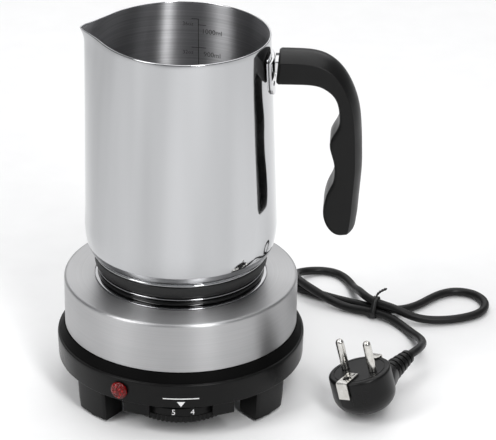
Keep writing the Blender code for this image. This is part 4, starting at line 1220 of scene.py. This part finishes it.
def make_bracket(finish):
    """Plate welded to the pot's wall, rounded below, and the stem that holds the grip."""
    top, bottom, half, corner, thick = 0.2075, 0.186, 0.0115, 0.0095, 0.0012
    edge = 0.0003
    rings = []
    for step in range(-24, 25):
        side = half * sin(radians(90 * step / 24))
        past = max(0.0, abs(side) - (half - corner))
        low = bottom + corner - sqrt(corner**2 - past**2) * 0.98
        turn = side / wall_radius(top)
        corners = ((low, GAP), (top, GAP), (top, GAP + thick - edge), (top - edge, GAP + thick))
        corners += ((low + edge, GAP + thick), (low, GAP + thick - edge))
        ring = []
        for up, lift in corners:
            reach = wall_radius(up) + lift
            ring.append((reach * cos(turn), reach * sin(turn), up))
        rings.append(ring)
    unions = [box_mesh((0.0166, 0.014, 0.007), 0.0008, (0.0611, 0, STEM_HEIGHT))]
    for side in (-0.0055, 0.0055):
        weld = turned_mesh(((0, 0.0018), (0.0012, 0.0016), (0.0017, 0.0012), (0.0017, 0), (0, 0)), 24)
        turn = Matrix.Rotation(side / 0.052, 4, "Z")
        place = turn @ Matrix.Translation((wall_radius(0.1935) + GAP, 0, 0.1935))
        unions.append(moved(weld, place @ turn_by(90, "Y")))
    mesh = boolean_mesh(loft(rings), unions)
    add_piece("welded_bracket", mesh, [finish], "pot", "handle_bracket", turn=POT_TURN)


# CAD nodes that are kept as they are

ZINC_NODES = ("clamp_bar", "heat_shield", "thermostat_strap", "thermostat_shaft", "plate_stud")
ZINC_NODES += ("stud_washer", "stud_nut", "lens_retainer", "earth_screw", "handle_screw")

# Node, its finish's name, two colours, roughness, grain, relief and metal
KEPT_NODES = (
    ("heating_element", "element_sheath", grey(0.1), grey(0.2), (0.4, 0.6), 300, 0.00003, 0.8),
    ("thermal_fuse", "fuse_can", grey(0.5), grey(0.62), (0.25, 0.4), 500, 0.00001, 1.0),
    ("insulation_disc", "mica", (0.42, 0.38, 0.31), (0.58, 0.53, 0.45), (0.6, 0.8), 180, 0.00005),
    ("thermostat_body", "ceramic", (0.72, 0.7, 0.64), (0.8, 0.78, 0.72), (0.35, 0.5), 250, 0.00003),
    ("terminal_block", "nylon", (0.62, 0.62, 0.58), (0.72, 0.72, 0.68), (0.4, 0.55), 300, 0.00003),
    ("indicator_lamp", "lamp_glass", (0.62, 0.34, 0.26), (0.75, 0.45, 0.35), (0.05, 0.1), 300, 0.00001),
    ("wire_live", "brown_wire", (0.12, 0.045, 0.02), (0.18, 0.07, 0.035), (0.4, 0.5), 300, 0.00002),
    ("wire_neutral", "blue_wire", (0.02, 0.08, 0.34), (0.04, 0.12, 0.46), (0.4, 0.5), 300, 0.00002),
    ("wire_earth", "earth_wire", (0.08, 0.3, 0.03), (0.55, 0.52, 0.03), (0.4, 0.5), 130, 0.00002),
)


def dress_node(node, finish):
    """Gives a CAD node that still shows its own finish."""
    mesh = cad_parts[node].data
    mesh.materials.clear()
    mesh.materials.append(finish)
    smooth(mesh)


def main():
    make_camera()
    make_studio()

    pvc = cord_pvc()
    cord = make_cord(pvc)
    gland = make_gland(pvc)
    tie = make_cord_tie(moulded_black("tie_plastic", 0.01, (0.32, 0.45), 1200, 0.00002, 0.34))
    plug = make_plug(moulded_black("plug_plastic", 0.005, (0.26, 0.38), 900, 0.00003, 0.22), nickel())

    printed = plain_matter("white_print", grey(0.72), grey(0.84), (0.45, 0.6), 900, 0.00001)
    zinc_finish = zinc()
    base_black = moulded_black("base_plastic", 0.004, (0.26, 0.38), 1100, 0.00003, 0.16)
    # The slope under the housing takes a darker, duller copy of the base plastic. Its darker colour is
    # painted shade.
    make_base(base_black, moulded_black("base_slope_painted_shade", 0.002, (0.5, 0.62), 1100, 0.00003, 0.05))
    make_foot_pads(plain_matter("foot_rubber", grey(0.008), grey(0.016), (0.6, 0.75), 400, 0.00004))
    make_bottom_cover(zinc_finish)
    make_cover_screws(zinc_finish)
    make_pointer_mark(printed)
    make_indicator(red_lens())
    make_housing(brushed_steel("brushed_housing", (0.47, 0.47, 0.475), (0.36, 0.46), 0.8))
    # The trim ring's polish made far darker for its neck: a painted dark reflection.
    painted_dark_neck_finish = polished_steel("trim_neck_painted_dark", grey(0.05))
    make_trim_ring(polished_steel("trim_polish", (0.42, 0.42, 0.43)), painted_dark_neck_finish)
    make_heating_plate(coated_iron())
    make_dial(moulded_black("dial_plastic", 0.004, (0.3, 0.42), 1100, 0.00003, 0.16), printed)

    inside = brushed_steel("pot_inside", (0.41, 0.41, 0.42), (0.38, 0.44), 1.0, 1500.0, 0.18)
    make_pot(polished_steel("pot_polish"), inside)
    make_scale(etched_mark("etched_line", 0.02, 0.045), etched_mark("etched_figure", 0.05, 0.09))
    make_grip(moulded_black("grip_phenolic", 0.0045, (0.3, 0.42), 1400, 0.00003, 0.2))
    make_bracket(polished_steel("bracket_polish", (0.62, 0.62, 0.63)))

    for node in ZINC_NODES:
        dress_node(node, zinc_finish)
    for node, *look in KEPT_NODES:
        dress_node(node, plain_matter(*look))


main()
